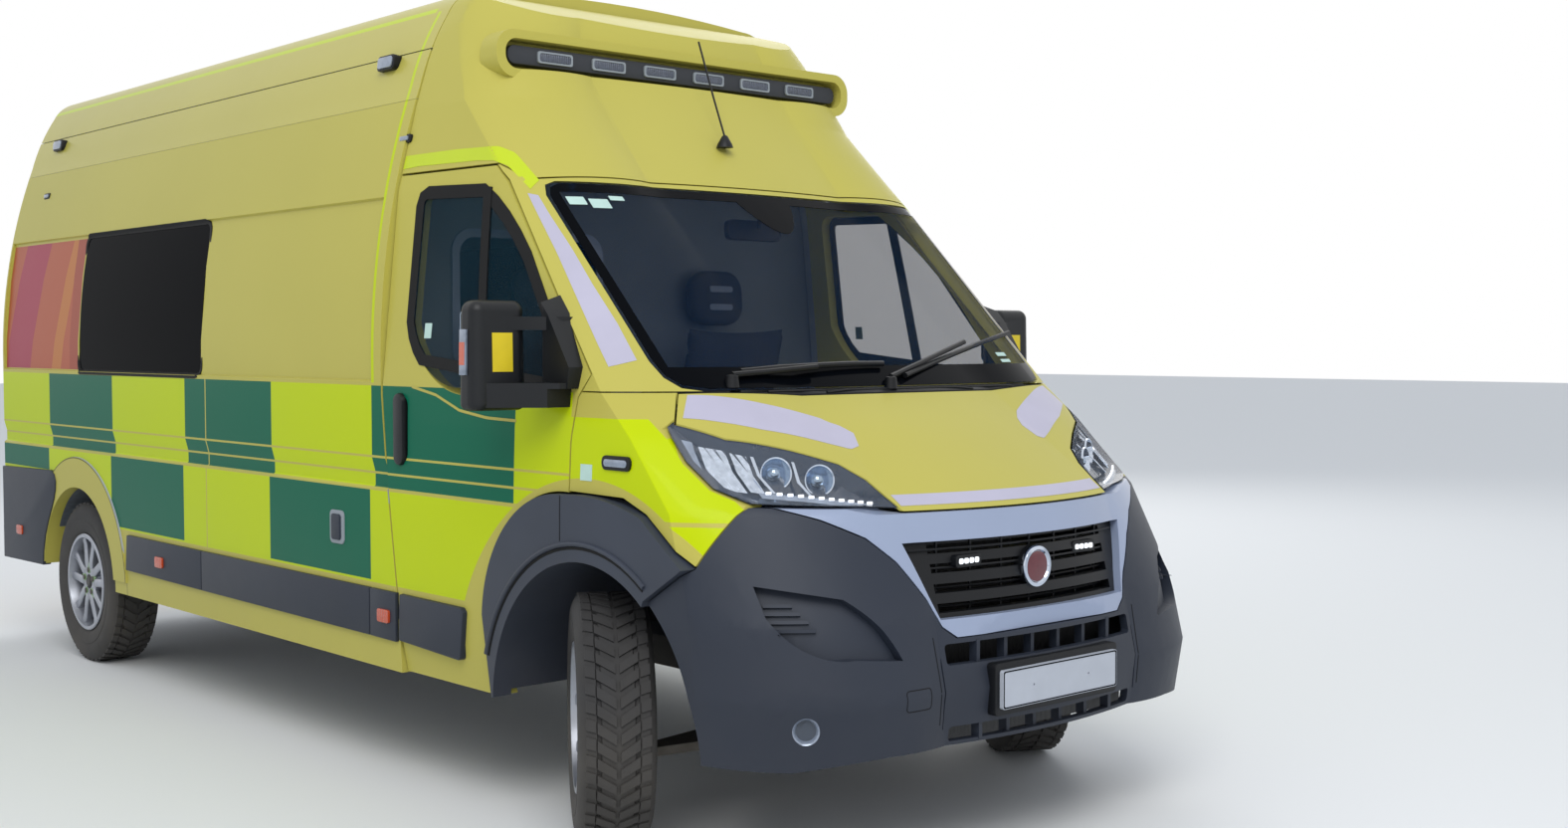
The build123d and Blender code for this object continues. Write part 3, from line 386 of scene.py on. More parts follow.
@dataclass(frozen=True)
class Livery(Finish):
    """Coach paint with reflective film laid on its outer faces."""

    patches: tuple[Patch | Ring, ...] = ()
    outside: float = 0.90

    def inner_faces(self, tree: Tree, place: Node, split: Node) -> Socket:
        """Builds the mask of the faces that look into the load space.

        Args:
            tree: The material's tree.
            place: The Texture Coordinate node.
            split: The node that gives X and Z.

        Returns:
            One on those faces and zero elsewhere.
        """
        away = add_node(tree, "ShaderNodeVectorMath",
                        {"operation": "MULTIPLY_ADD", 1: (0.0, 1.0, 1.0),
                         2: (0.0, 0.0, -ROOM_MIDDLE)}, {0: place.outputs["Object"]})
        facing_out = add_node(tree, "ShaderNodeVectorMath", {"operation": "DOT_PRODUCT"},
                              {0: away, 1: place.outputs["Normal"]})
        inward = add_node(tree, "ShaderNodeMath", {"operation": "LESS_THAN", 1: LOOKS_IN},
                          {0: facing_out.outputs["Value"]})
        behind = add_node(tree, "ShaderNodeMath", {"operation": "LESS_THAN", 1: CAB_REAR},
                          {0: split.outputs["X"]})
        return add_node(tree, "ShaderNodeMath", {"operation": "MULTIPLY"},
                        {0: inward, 1: behind}).outputs[0]

    def inside(self, tree: Tree, split: Node, patch: Patch | Ring) -> Socket:
        """Builds the mask of one patch or ring.

        Args:
            tree: The material's tree.
            split: The node that gives X and Z.
            patch: The patch or ring.

        Returns:
            One inside it and zero outside.
        """
        if isinstance(patch, Ring):
            flat = add_node(tree, "ShaderNodeCombineXYZ", None,
                            {"X": split.outputs["X"], "Z": split.outputs["Z"]})
            away = add_node(tree, "ShaderNodeVectorMath",
                            {"operation": "DISTANCE", 1: (patch.x, 0.0, TYRE_RADIUS)},
                            {0: flat})
            return add_node(tree, "ShaderNodeMath",
                            {"operation": "COMPARE", 1: (patch.inner + patch.outer) / 2,
                             2: (patch.outer - patch.inner) / 2},
                            {0: away.outputs["Value"]}).outputs[0]
        shear = add_node(tree, "ShaderNodeMath",
                         {"operation": "MULTIPLY_ADD", 1: -patch.lean,
                          2: patch.lean * patch.low}, {0: split.outputs["Z"]})
        along = add_node(tree, "ShaderNodeMath", {"operation": "ADD"},
                         {0: split.outputs["X"], 1: shear})
        spans = [add_node(tree, "ShaderNodeMath",
                          {"operation": "COMPARE", 1: (low + high) / 2, 2: (high - low) / 2},
                          {0: value})
                 for value, low, high in ((along, patch.rear, patch.front),
                                          (split.outputs["Z"], patch.low, patch.high))]
        return add_node(tree, "ShaderNodeMath", {"operation": "MULTIPLY"},
                        dict(enumerate(spans))).outputs[0]

    def colour_output(self, tree: Tree, place: Node) -> Socket:
        """Lays each block of film over the paint.

        Args:
            tree: The material's tree.
            place: The Texture Coordinate node.

        Returns:
            The colour output.
        """
        colour = super().colour_output(tree, place)
        split = add_node(tree, "ShaderNodeSeparateXYZ", None, {0: place.outputs["Object"]})
        width = add_node(tree, "ShaderNodeMath", {"operation": "ABSOLUTE"},
                         {0: split.outputs["Y"]})
        turned = add_node(tree, "ShaderNodeVectorMath", {"operation": "MULTIPLY"},
                          {0: place.outputs["Object"], 1: place.outputs["Normal"]})
        sideways = add_node(tree, "ShaderNodeSeparateXYZ", None, {0: turned})
        outward = add_node(tree, "ShaderNodeMath", {"operation": "GREATER_THAN", 1: LOOKS_OUT},
                           {0: sideways.outputs["Y"]})
        wide = add_node(tree, "ShaderNodeMath", {"operation": "GREATER_THAN", 1: self.outside},
                        {0: width})
        outer = add_node(tree, "ShaderNodeMath", {"operation": "MULTIPLY"},
                         {0: wide, 1: outward})
        layers = []
        for patch in self.patches:
            mask = add_node(tree, "ShaderNodeMath", {"operation": "MULTIPLY"},
                            {0: self.inside(tree, split, patch), 1: outer})
            layers.append((mask.outputs[0], patch.colour))
        layers.append((self.inner_faces(tree, place, split), LINING))
        return layered(tree, colour, layers)


@dataclass(frozen=True)
class Chevrons(Finish):
    """Reflective film in two colours, in stripes that rise to the middle."""

    second: str = "#B3161C"
    pitch: float = 0.300

    def colour_output(self, tree: Tree, place: Node) -> Socket:
        """Builds the slanting stripes.

        Args:
            tree: The material's tree.
            place: The Texture Coordinate node.

        Returns:
            The colour output.
        """
        colour = super().colour_output(tree, place)
        split = add_node(tree, "ShaderNodeSeparateXYZ", None, {0: place.outputs["Object"]})
        width = add_node(tree, "ShaderNodeMath", {"operation": "ABSOLUTE"},
                         {0: split.outputs["Y"]})
        run = add_node(tree, "ShaderNodeMath", {"operation": "ADD"},
                       {0: width, 1: split.outputs["Z"]})
        share = add_node(tree, "ShaderNodeMath", {"operation": "FLOORED_MODULO", 1: self.pitch},
                         {0: run})
        stripe = add_node(tree, "ShaderNodeMath",
                          {"operation": "GREATER_THAN", 1: self.pitch / 2},
                          {0: share})
        turned = add_node(tree, "ShaderNodeSeparateXYZ", None, {0: place.outputs["Normal"]})
        inner = add_node(tree, "ShaderNodeMath", {"operation": "GREATER_THAN", 1: 0.5},
                         {0: turned.outputs["X"]})
        return layered(tree, colour, [(stripe.outputs[0], self.second),
                                      (inner.outputs[0], LINING)])


BODY = "#BDB455"
LIME = "#C0D202"
GREEN = "#006348"

# Film on the sides, from the tail to the wing: two rows of large checks
LIME_BAND = tuple(Patch(*edges, LIME, lean) for edges, lean in (
    ((REAR_FACE, 1.985, 0.996, 1.344), 0.0), ((1.985, 2.272, 0.996, 1.272), 0.0),
    ((2.100, 2.655, 0.996, 1.272), -1.39), ((REAR_FACE, 1.985, 0.664, 0.984), 0.0),
    ((2.300, 2.660, 0.900, 0.984), -0.30)))
GREEN_CHECKS = tuple(Patch(*edges, GREEN) for edges in (
    (-2.327, -1.532, 0.996, 1.344), (-0.743, 0.054, 0.996, 1.344),
    (0.828, 1.696, 0.996, 1.344), (REAR_FACE, -2.347, 0.880, 0.984),
    (-1.559, -0.766, 0.672, 0.984), (0.033, 0.812, 0.672, 0.984)))
# The paint shows in thin lines between the strips, and bare round the wheel arches; the dark ring
# round the rear arch is painted shadow under its pressed edge
PAINT_LINES_AND_ARCH_SHADOW = (
    Patch(REAR_FACE, 1.985, 1.096, 1.104, BODY),
    Patch(REAR_FACE, 1.985, 1.040, 1.048, BODY),
    Patch(-0.545, -0.536, 0.664, 1.344, BODY),
    Ring(REAR_AXLE, 0.400, 0.585, BODY),
    # A thin dark ring at the rear arch's edge: painted shadow under the pressed edge
    Ring(REAR_AXLE, 0.580, 0.586, "#6B6526"),
    Ring(FRONT_ARCH, 0.500, 0.722, BODY),
)
# Thin lime lines along the cant rail and down the pillar behind the cab
LIME_LINES = (
    Patch(REAR_FACE, 0.80, 2.655, 2.672, LIME),
    Patch(0.828, 0.846, 1.354, 2.655, LIME, -0.005),
)
# Generic two-colour panel behind the dark window, in diagonal fields
WRAP = (
    Patch(-2.965, -1.972, 1.366, 1.974, "#B0583A"),
    Patch(-2.965, -2.62, 1.366, 1.974, "#A3354B", 0.30),
    Patch(-2.32, -2.20, 1.366, 1.974, "#BC7336", 0.30),
    Patch(-2.08, -1.972, 1.366, 1.974, "#A04A34", 0.0),
)

# Two-pack coach enamel, sprayed and polished: an even pale yellow with a soft gloss
COACH_PAINT = Finish("coach_enamel_yellow", BODY, 0.45, mottle=0.02, mottle_mm=900,
                     shine=0.2)
# The same enamel with reflective film on the sides: flat, saturated blocks
SIDE_PAINT = Livery("coach_enamel_with_reflective_film", BODY, 0.32, coat=0.05,
                    mottle=0.02, mottle_mm=900, dirt=0.15, shine=0.10, outside=0.78,
                    patches=LIME_BAND + GREEN_CHECKS + PAINT_LINES_AND_ARCH_SHADOW + LIME_LINES + WRAP)
# The same enamel on the roof, with the thin lime line of the cant rail alone
ROOF_PAINT = Livery("coach_enamel_roof", BODY, 0.32, coat=0.08, mottle=0.02,
                    mottle_mm=700, shine=0.25, patches=LIME_LINES, outside=0.60)
# Polypropylene moulded with a fine leather grain, which is drawn coarse: a dull
# blue-grey sheen
BUMPER_PLASTIC = Finish("grained_polypropylene_grey", "#242B38", 0.50, mottle=0.05,
                        mottle_mm=500, grain_mm=2.2, grain_depth=0.2, dirt=0.12,
                        shine=0.35)
# The same plastic in a lighter grey on the wheel arches
ARCH_PLASTIC = Finish("grained_polypropylene_faded", "#343A46", 0.50, mottle=0.08,
                      mottle_mm=300, grain_mm=2.2, grain_depth=0.2, dirt=0.25, shine=0.35)
# Spark-grained ABS: black with a broad soft sheen; the grain is drawn coarse
MIRROR_PLASTIC = Finish("grained_abs_black", "#0F1216", 0.42, mottle=0.10,
                        mottle_mm=120, grain_mm=1.8, grain_depth=0.2, shine=0.35)
# Smooth moulded ABS: near black with a dull highlight
BLACK_PLASTIC = Finish("moulded_abs_black", "#0C0E12", 0.45, mottle=0.08, mottle_mm=90,
                       shine=0.3)
# ABS under silver lacquer: a silver grey whose blue cast is a painted reflection of the sky, with
# a faint metallic lift
SILVER_TRIM = Finish("painted_abs_silver", "#97A3BC", 0.30, metallic=0.15, coat=0.2,
                     mottle=0.03, mottle_mm=500)
# Extruded rubber: a matt black that swallows the light
RUBBER_SEAL = Finish("extruded_rubber_black", "#0A0B0D", 0.6, mottle=0.08, mottle_mm=60,
                     shine=0.2)
# Cured tread rubber: dull charcoal, dusty low down; its grain is drawn coarse
TYRE_RUBBER = Finish("vulcanised_tyre_rubber", "#232427", 0.78, mottle=0.16, mottle_mm=70,
                     grain_mm=3.0, grain_depth=0.3, dirt=0.45)
# Cast and lacquered alloy: bright, slightly uneven silver
ALLOY = Finish("cast_alloy_lacquered", "#A9ADB6", 0.34, metallic=0.7, mottle=0.06,
               mottle_mm=60, dirt=0.25)
# The same casting in shadow: dark, rough and dusty
DARK_ALLOY = Finish("cast_alloy_shadowed", "#3C3D40", 0.5, metallic=0.6, mottle=0.15,
                    mottle_mm=50, dirt=0.4)
# Vapour-chromed plastic: a mirror that shows the sky
CHROME = Finish("chromed_reflector", "#C9D2E0", 0.08, metallic=1.0, mottle=0.02)
# The same with moulded flutes: broken upright highlights
FLUTED_CHROME = Ribbed("chromed_reflector_fluted", "#C9D2E0", 0.10, metallic=1.0,
                       mottle=0.12, mottle_mm=20, pitch_mm=21.0, along=(0.25, 0.9, 0.35),
                       depth=0.8)
# Smoked polycarbonate: a deep blue-black gloss behind the lens
LAMP_BOWL = Finish("smoked_lamp_housing", "#1A2436", 0.16, coat=0.5, mottle=0.05,
                   mottle_mm=60)
# Frosted light guide: soft grey with silky edges
SATIN_GUIDE = Finish("satin_light_guide", "#8E98A8", 0.22, metallic=0.5, coat=0.5,
                     mottle=0.15, mottle_mm=40)
# Stove enamel: a plain dull red under a glassy coat
BADGE_ENAMEL = Finish("badge_enamel_dull_red", "#5E1A24", 0.25, coat=0.6, mottle=0.05,
                      mottle_mm=20)
# Forged and left bare: brown-grey, mottled and dusty
STEEL = Finish("bare_forged_steel", "#55534F", 0.55, metallic=0.8, mottle=0.2, mottle_mm=60,
               dirt=0.5)
# Thin fins of the cooler behind the intakes: nearly black, with fine upright lines, which
# are drawn coarse
COOLER_FINS = Ribbed("cooler_fins_black", "#101215", 0.5, mottle=0.08, mottle_mm=80,
                     pitch_mm=6.0, along=(0.0, 1.0, 0.0), depth=0.5)
# Brushed-on wax: an uneven matt black under dust
CHASSIS_PAINT = Finish("underbody_wax_black", "#1B1B1D", 0.7, mottle=0.2, mottle_mm=150,
                       dirt=0.6)
# Moulded nylon: flat pale green
POINTER_PLASTIC = Finish("moulded_nylon_pale_green", "#7FA06A", 0.45, mottle=0.1,
                         mottle_mm=30)
# Prismatic film, white with a lavender cast in daylight
WHITE_FILM = Finish("prismatic_film_white", "#B9B5C6", 0.35, mottle=0.03, mottle_mm=200,
                    shine=0.3)
# Cut edge of the film: a dull, pale yellow line
BARE_LINE = Finish("film_edge_pale_yellow", "#B5AB4C", 0.35, mottle=0.02, mottle_mm=200,
                   shine=0.3)
# Prismatic films: flat saturated colours with a slight gloss
LIME_FILM = Finish("prismatic_film_lime", LIME, 0.35, mottle=0.02, mottle_mm=200)
YELLOW_FILM = Finish("prismatic_film_yellow", "#DCC312", 0.35, mottle=0.03, mottle_mm=60)
# Printed and laminated label: matt, pale green-white
PALE_LABEL = Finish("printed_label_pale", "#B9D6CB", 0.5, mottle=0.03, mottle_mm=40)
# Moulded glass-reinforced plastic: an even pale grey
CRATE_GREY = Finish("moulded_grp_pale_grey", "#8D949A", 0.5, mottle=0.05, mottle_mm=300)
# Moulded dash skin: dark matt grey; the grain is drawn coarse
TRIM_GREY = Finish("moulded_dash_grey", "#2B2E34", 0.6, mottle=0.08, mottle_mm=200,
                   grain_mm=2.0, grain_depth=0.25)
# Woven cloth: soft dark ribs; the threads are drawn coarse
SEAT_CLOTH = Ribbed("woven_seat_cloth_grey", "#3A3F4B", 0.85, mottle=0.05, mottle_mm=30,
                    pitch_mm=9.0, along=(0.0, 1.0, 0.0), depth=0.15)
# High-visibility film on the rear doors, in generic red and yellow stripes
CHEVRONS = Chevrons("high_visibility_film_striped", "#D3D21C", 0.35, coat=0.3, mottle=0.02)
# Rolled safety vinyl: matt grey with grit, which is drawn coarse
LINER_FLOOR = Finish("safety_vinyl_floor", "#5A6068", 0.6, mottle=0.12, mottle_mm=20,
                     grain_mm=3.0, grain_depth=0.3)
# Ceramic print fired on glass: a glossy black edge
BLACK_BORDER = Finish("enamel_border_black", "#07090D", 0.12, mottle=0.02, shine=0.03)
# Laminated float glass: a faint blue that darkens the cab
SCREEN_GLASS = Glass("laminated_glass_tinted", "#142C48", 0.02, opacity=0.17, shine=0.05)
# Toughened glass: a stronger green-blue
DOOR_GLASS = Glass("tempered_glass_tinted", "#16303C", 0.02, opacity=0.40, shine=0.02)
# Privacy glass: nearly black, with little but the sky in it
DARK_GLASS = Glass("privacy_glass_dark", "#06080C", 0.02, opacity=0.98, shine=0.01)
# Clear moulded polycarbonate: seen only by its highlights
CLEAR_LENS = Glass("clear_polycarbonate", "#B8C6D6", 0.02, opacity=0.05)
# Fluted and unlit lamp module: grey with fine ribs
BLUE_LENS = Ribbed("clear_led_module", "#4A5160", 0.25, coat=0.3, mottle=0.15, mottle_mm=15,
                   pitch_mm=9.0, along=(0.0, 1.0, 0.0), depth=0.6)
# Lamp chips: small bright points
WHITE_LED = Glow("white_led_chip", "#F2F5FA", 0.2, coat=0.5, strength=0.7)
# Ribbed acrylic lenses: glossy colour broken up by ribs, which are drawn coarse
AMBER_LENS = Ribbed("ribbed_amber_lens", "#C4471A", 0.15, coat=0.7, pitch_mm=12.0,
                    along=(1.0, 0.0, 0.0), depth=0.5)
RED_LENS = Ribbed("ribbed_red_lens", "#8E0F12", 0.15, coat=0.7, pitch_mm=14.0,
                  along=(0.0, 1.0, 0.0), depth=0.4)
# Blank reflective plates: satin white in front and yellow behind
PLATE_FILM = Finish("blank_plate_white", "#B4B9C2", 0.35, mottle=0.03, mottle_mm=80)
REAR_PLATE_FILM = Finish("blank_plate_yellow", "#D3B32A", 0.35, mottle=0.03, mottle_mm=80)
# Silvered glass: a cool, clear mirror
MIRROR_GLASS = Finish("silvered_glass", "#9FB0C2", 0.04, metallic=1.0, mottle=0.01)


# Points nearer than this are one point
MERGE = 1e-5


def finish_mesh(name: str, mesh: Mesh, finish: Finish, smooth: float = 35.0,
                bevel: float = 0.0) -> Piece:
    """Turns a bmesh into a finished object at the origin.

    Args:
        name: The piece's name.
        mesh: The bmesh, which is freed.
        finish: Its finish.
        smooth: Edges sharper than this many degrees stay sharp.
        bevel: Width of a small bevel on the sharp edges, in metres.

    Returns:
        The new object.
    """
    bmesh.ops.remove_doubles(mesh, verts=mesh.verts, dist=MERGE)
    bmesh.ops.recalc_face_normals(mesh, faces=mesh.faces)
    if bevel:
        sharp = [e for e in mesh.edges
                 if len(e.link_faces) == 2 and e.calc_face_angle(0.0) > math.radians(30)]
        bmesh.ops.bevel(mesh, geom=sharp, offset=bevel, segments=2, affect="EDGES",
                        profile=0.6, clamp_overlap=True)
        bmesh.ops.recalc_face_normals(mesh, faces=mesh.faces)
    for face in mesh.faces:
        face.smooth = True
    for edge in mesh.edges:
        if len(edge.link_faces) == 2:
            edge.smooth = edge.calc_face_angle(0.0) < math.radians(smooth)
    data = bpy.data.meshes.new(name)
    mesh.to_mesh(data)
    mesh.free()
    data.materials.append(finish.material())
    piece = bpy.data.objects.new(name, data)
    bpy.context.scene.collection.objects.link(piece)
    return piece


def prism(mesh: Mesh, outline: list[Vector], depth: Vector) -> None:
    """Adds a closed prism to a bmesh.

    Args:
        mesh: The bmesh.
        outline: The corners of its first face, in order.
        depth: The way from the first face to the last.
    """
    first = [mesh.verts.new(p) for p in outline]
    last = [mesh.verts.new(p + depth) for p in outline]
    mesh.faces.new(first)
    mesh.faces.new(list(reversed(last)))
    count = len(outline)
    for i in range(count):
        j = (i + 1) % count
        mesh.faces.new([first[j], first[i], last[i], last[j]])


def skin_rings(mesh: Mesh, rings: list[list[Vector]], closed: bool,
               capped: bool) -> None:
    """Joins rows of points with faces.

    Args:
        mesh: The bmesh.
        rings: Rows with the same number of points.
        closed: Whether each row closes on itself.
        capped: Whether the first and last rows get an end face.
    """
    rows = [[mesh.verts.new(p) for p in ring] for ring in rings]
    count = len(rings[0])
    spans = count if closed else count - 1
    for a, b in zip(rows, rows[1:]):
        for i in range(spans):
            j = (i + 1) % count
            mesh.faces.new([a[i], a[j], b[j], b[i]])
    if capped:
        mesh.faces.new(list(reversed(rows[0])))
        mesh.faces.new(rows[-1])


def revolved(mesh: Mesh, profile: list[Flat], place: Matrix, steps: int) -> None:
    """Turns a closed profile about the local Z axis.

    Args:
        mesh: The bmesh.
        profile: Radius and height of each point, round the section.
        place: Where the local axis stands.
        steps: Number of steps round the axis.
    """
    rings = []
    for k in range(steps):
        angle = 2 * math.pi * k / steps
        rings.append([place @ Vector((r * math.cos(angle), r * math.sin(angle), h))
                      for r, h in profile])
    rings.append(rings[0])
    skin_rings(mesh, rings, True, False)


def tube(mesh: Mesh, path: list[Vector], radius: float, sides: int = 8) -> None:
    """Sweeps a round section along a path.

    Args:
        mesh: The bmesh.
        path: Points along the middle of the tube.
        radius: The tube's radius.
        sides: Number of sides of its section.
    """
    rings = []
    up = Vector((0.0, 0.0, 1.0))
    for i, point in enumerate(path):
        after, before = path[min(i + 1, len(path) - 1)], path[max(i - 1, 0)]
        way = (after - before).normalized()
        side = way.cross(up)
        if side.length < 1e-3:
            side = way.cross(Vector((1.0, 0.0, 0.0)))
        side.normalize()
        top = side.cross(way)
        rings.append([point + radius * (math.cos(a) * side + math.sin(a) * top)
                      for a in (2 * math.pi * k / sides for k in range(sides))])
    skin_rings(mesh, rings, True, True)


def rounded(width: float, height: float, corner: float, steps: int = 4) -> list[Flat]:
    """Returns the outline of a rounded rectangle about the origin.

    Args:
        width: Its full width.
        height: Its full height.
        corner: The corner's radius.
        steps: Steps in each corner.

    Returns:
        The outline's points.
    """
    out = []
    for cx, cy, start in ((1, 1, 0), (-1, 1, 90), (-1, -1, 180), (1, -1, 270)):
        for k in range(steps + 1):
            a = math.radians(start + 90 * k / steps)
            out.append((cx * (width / 2 - corner) + corner * math.cos(a),
                        cy * (height / 2 - corner) + corner * math.sin(a)))
    return out


def circle(radius: float, count: int) -> list[Flat]:
    """Returns evenly spaced points round the origin."""
    return [(radius * math.cos(a), radius * math.sin(a))
            for a in (math.radians(360 / count * k) for k in range(count))]


def along(points: list[Flat], count: int) -> list[Flat]:
    """Spaces points evenly along a line of straight runs.

    Args:
        points: The corners of the line.
        count: How many points come back.

    Returns:
        The evenly spaced points, ends included.
    """
    lengths = [math.dist(a, b) for a, b in zip(points, points[1:])]
    total = sum(lengths)
    out = []
    for k in range(count):
        want = total * k / (count - 1)
        i = 0
        while i < len(lengths) - 1 and want > lengths[i]:
            want -= lengths[i]
            i += 1
        share = want / lengths[i] if lengths[i] else 0.0
        a, b = points[i], points[i + 1]
        out.append((a[0] + (b[0] - a[0]) * share, a[1] + (b[1] - a[1]) * share))
    return out


class Surface:
    """The outer faces of some CAD nodes, on which trim can be laid."""

    def __init__(self, *nodes: str) -> None:
        """Gathers the nodes' faces.

        Args:
            nodes: Names of the CAD nodes.
        """
        points: list[Vector] = []
        faces: list[tuple[int, ...]] = []
        for name in nodes:
            data = frame["nodes"][name].data
            start = len(points)
            points += [v.co.copy() for v in data.vertices]
            faces += [tuple(start + i for i in p.vertices) for p in data.polygons]
        self.tree = BVHTree.FromPolygons(points, faces)

    def at(self, spot: Flat, view: View, side: Side = Side.RIGHT,
           lift: float = 0.0) -> Vector | None:
        """Finds the surface under a spot of a flat view.

        Args:
            spot: X and Z from the side, Y and Z from the front, X and Y from above.
            view: The direction of the view.
            side: Which side, for a side view.
            lift: How far the point stands proud of the surface.

        Returns:
            The point, or None where the view misses the surface.
        """
        a, b = spot
        start, way = (Vector(v) for v in {
            View.SIDE: ((a, 4.0 * side.value, b), (0.0, -side.value, 0.0)),
            View.FRONT: ((6.0, a, b), (-1.0, 0.0, 0.0)),
            View.TOP: ((a, b, 5.0), (0.0, 0.0, -1.0))}[view])
        place, normal, _, _ = self.tree.ray_cast(start, way)
        if place is None:
            return None
        if normal.dot(way) > 0:
            normal = -normal
        return place + normal * lift

    def line(self, spots: list[Flat], view: View, side: Side = Side.RIGHT,
             lift: float = 0.0) -> list[Vector]:
        """Lays a line of spots on the surface.

        Args:
            spots: The line in the flat view.
            view: The direction of the view.
            side: Which side, for a side view.
            lift: How far the line stands proud.

        Returns:
            The points that the view hits.
        """
        found = [self.at(s, view, side, lift) for s in spots]
        return [p for p in found if p is not None]

    def band(self, mesh: Mesh, edges: tuple[list[Flat], list[Flat]], view: View,
             side: Side = Side.RIGHT, lift: float = 0.0012, across: int = 3,
             depth: float = 0.0018, closed: bool = False) -> None:
        """Lays a thin closed band between two lines onto the surface.

        Args:
            mesh: The bmesh that gets the band.
            edges: The two long edges, with the same number of points.
            view: The direction of the view.
            side: Which side, for a side view.
            lift: How far its top stands proud.
            across: Faces across the band.
            depth: The band's thickness.
            closed: Whether the band closes on itself.
        """
        rings = []
        for a, b in zip(*edges):
            spots = [(a[0] + (b[0] - a[0]) * k / across, a[1] + (b[1] - a[1]) * k / across)
                     for k in range(across + 1)]
            top = [self.at(s, view, side, lift) for s in spots]
            low = [self.at(s, view, side, lift - depth) for s in spots]
            if all(top) and all(low):
                rings.append(top + list(reversed(low)))
        if len(rings) < 2:
            return
        if closed:
            rings.append(rings[0])
        skin_rings(mesh, rings, True, not closed)


def repeated(piece: Piece, count: int, step: Point = (0.0, 0.0, 0.0),
             turn: Point = (0.0, 0.0, 0.0), seed: int = 7) -> Piece:
    """Repeats a piece with Geometry Nodes, in a row or round the origin's axes.

    Args:
        piece: The piece to repeat, near the origin.
        count: How many there are.
        step: The way from one to the next.
        turn: The turn from one to the next, in radians about X, Y and Z.
        seed: Fixed seed of the tree, kept as a named input.

    Returns:
        The same object with the whole pattern as its mesh.
    """
    tree = bpy.data.node_groups.new(f"repeat_{piece.name}", "GeometryNodeTree")
    sockets = {}
    for name, kind in (("Geometry", "NodeSocketGeometry"), ("Count", "NodeSocketInt"),
                       ("Step", "NodeSocketVector"), ("Turn", "NodeSocketVector"),
                       ("Seed", "NodeSocketInt"), ("Material", "NodeSocketMaterial")):
        sockets[name] = tree.interface.new_socket(name, in_out="INPUT", socket_type=kind)
    tree.interface.new_socket("Geometry", in_out="OUTPUT", socket_type="NodeSocketGeometry")
    source = add_node(tree, "NodeGroupInput")
    index = add_node(tree, "GeometryNodeInputIndex")
    way = add_node(tree, "ShaderNodeVectorMath", {"operation": "SCALE"},
                   {0: source.outputs["Step"], "Scale": index})
    spin = add_node(tree, "ShaderNodeVectorMath", {"operation": "SCALE"},
                    {0: source.outputs["Turn"], "Scale": index})
    points = add_node(tree, "GeometryNodePoints", None,
                      {"Count": source.outputs["Count"], "Position": way})
    copies = add_node(tree, "GeometryNodeInstanceOnPoints", None,
                      {"Points": points, "Instance": source.outputs["Geometry"],
                       "Rotation": spin})
    real = add_node(tree, "GeometryNodeRealizeInstances", None, {0: copies})
    dressed = add_node(tree, "GeometryNodeSetMaterial", None,
                       {"Geometry": real, "Material": source.outputs["Material"]})
    sink = add_node(tree, "NodeGroupOutput")
    tree.links.new(dressed.outputs[0], sink.inputs[0])
    modifier = piece.modifiers.new("repeat", "NODES")
    modifier.node_group = tree
    material = piece.data.materials[0]
    given = {"Count": count, "Step": step, "Turn": turn, "Seed": seed, "Material": material}
    for name, value in given.items():
        modifier[sockets[name].identifier] = value
    bpy.context.view_layer.update()
    shape = piece.evaluated_get(bpy.context.evaluated_depsgraph_get())
    data = bpy.data.meshes.new_from_object(shape)
    piece.modifiers.remove(modifier)
    piece.data = data
    if not data.materials:
        data.materials.append(material)
    return piece


def moved(piece: Piece, place: Matrix) -> Piece:
    """Puts a piece's mesh in place, so its object stays at the origin.

    Args:
        piece: The piece.
        place: Its place.

    Returns:
        The same piece.
    """
    piece.data.transform(place)
    piece.data.update()
    return piece


def dress(finish: Finish, *nodes: str) -> None:
    """Gives CAD nodes a finish.

    Args:
        finish: The finish.
        nodes: Names of the CAD nodes.
    """
    for name in nodes:
        slots = frame["nodes"][name].data.materials
        slots.clear()
        slots.append(finish.material())


def attach(piece: Piece, body: str) -> Piece:
    """Lets a piece ride on a body.

    Args:
        piece: The piece.
        body: The body's name.

    Returns:
        The same piece.
    """
    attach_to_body(piece, body)
    return piece


def fit(name: str, mesh: Mesh, finish: Finish, body: str = "body",
        bevel: float = 0.0) -> Piece:
    """Turns a bmesh into a finished piece that rides on a body.

    Args:
        name: The piece's name.
        mesh: The bmesh, which is freed.
        finish: Its finish.
        body: The body's name.
        bevel: Width of a small bevel on the sharp edges, in metres.

    Returns:
        The new piece.
    """
    return attach(finish_mesh(name, mesh, finish, bevel=bevel), body)


def facing(origin: Point, outward: Point, up: Point = (0.0, 0.0, 1.0)) -> Matrix:
    """Returns a place whose local Z points outwards and local Y points up.

    Args:
        origin: Where the place is.
        outward: The way it faces.
        up: Roughly the way that is up.

    Returns:
        The place as a matrix.
    """
    z = Vector(outward).normalized()
    x = Vector(up).cross(z).normalized()
    y = z.cross(x)
    turn = Matrix((x, y, z)).transposed().to_4x4()
    return Matrix.Translation(Vector(origin)) @ turn


def slab(mesh: Mesh, place: Matrix, outline: list[Flat], low: float,
         high: float) -> None:
    """Adds a flat block with a given outline at a place.

    Args:
        mesh: The bmesh.
        place: Where its plane lies; the outline is in local X and Y.
        outline: The outline.
        low: Where it starts along local Z.
        high: Where it ends along local Z.
    """
    points = [place @ Vector((x, y, low)) for x, y in outline]
    way = place.to_3x3() @ Vector((0.0, 0.0, high - low))
    prism(mesh, points, way)


def framed(mesh: Mesh, place: Matrix, sections: list[tuple[list[Flat], float]]) -> None:
    """Adds a closed frame whose section runs through flat outlines.

    Args:
        mesh: The bmesh.
        place: Where its plane lies.
        sections: Each outline with its height along local Z.
    """
    rings = [[place @ Vector((x, y, h)) for x, y in outline] for outline, h in sections]
    skin_rings(mesh, rings + rings[:1], True, False)


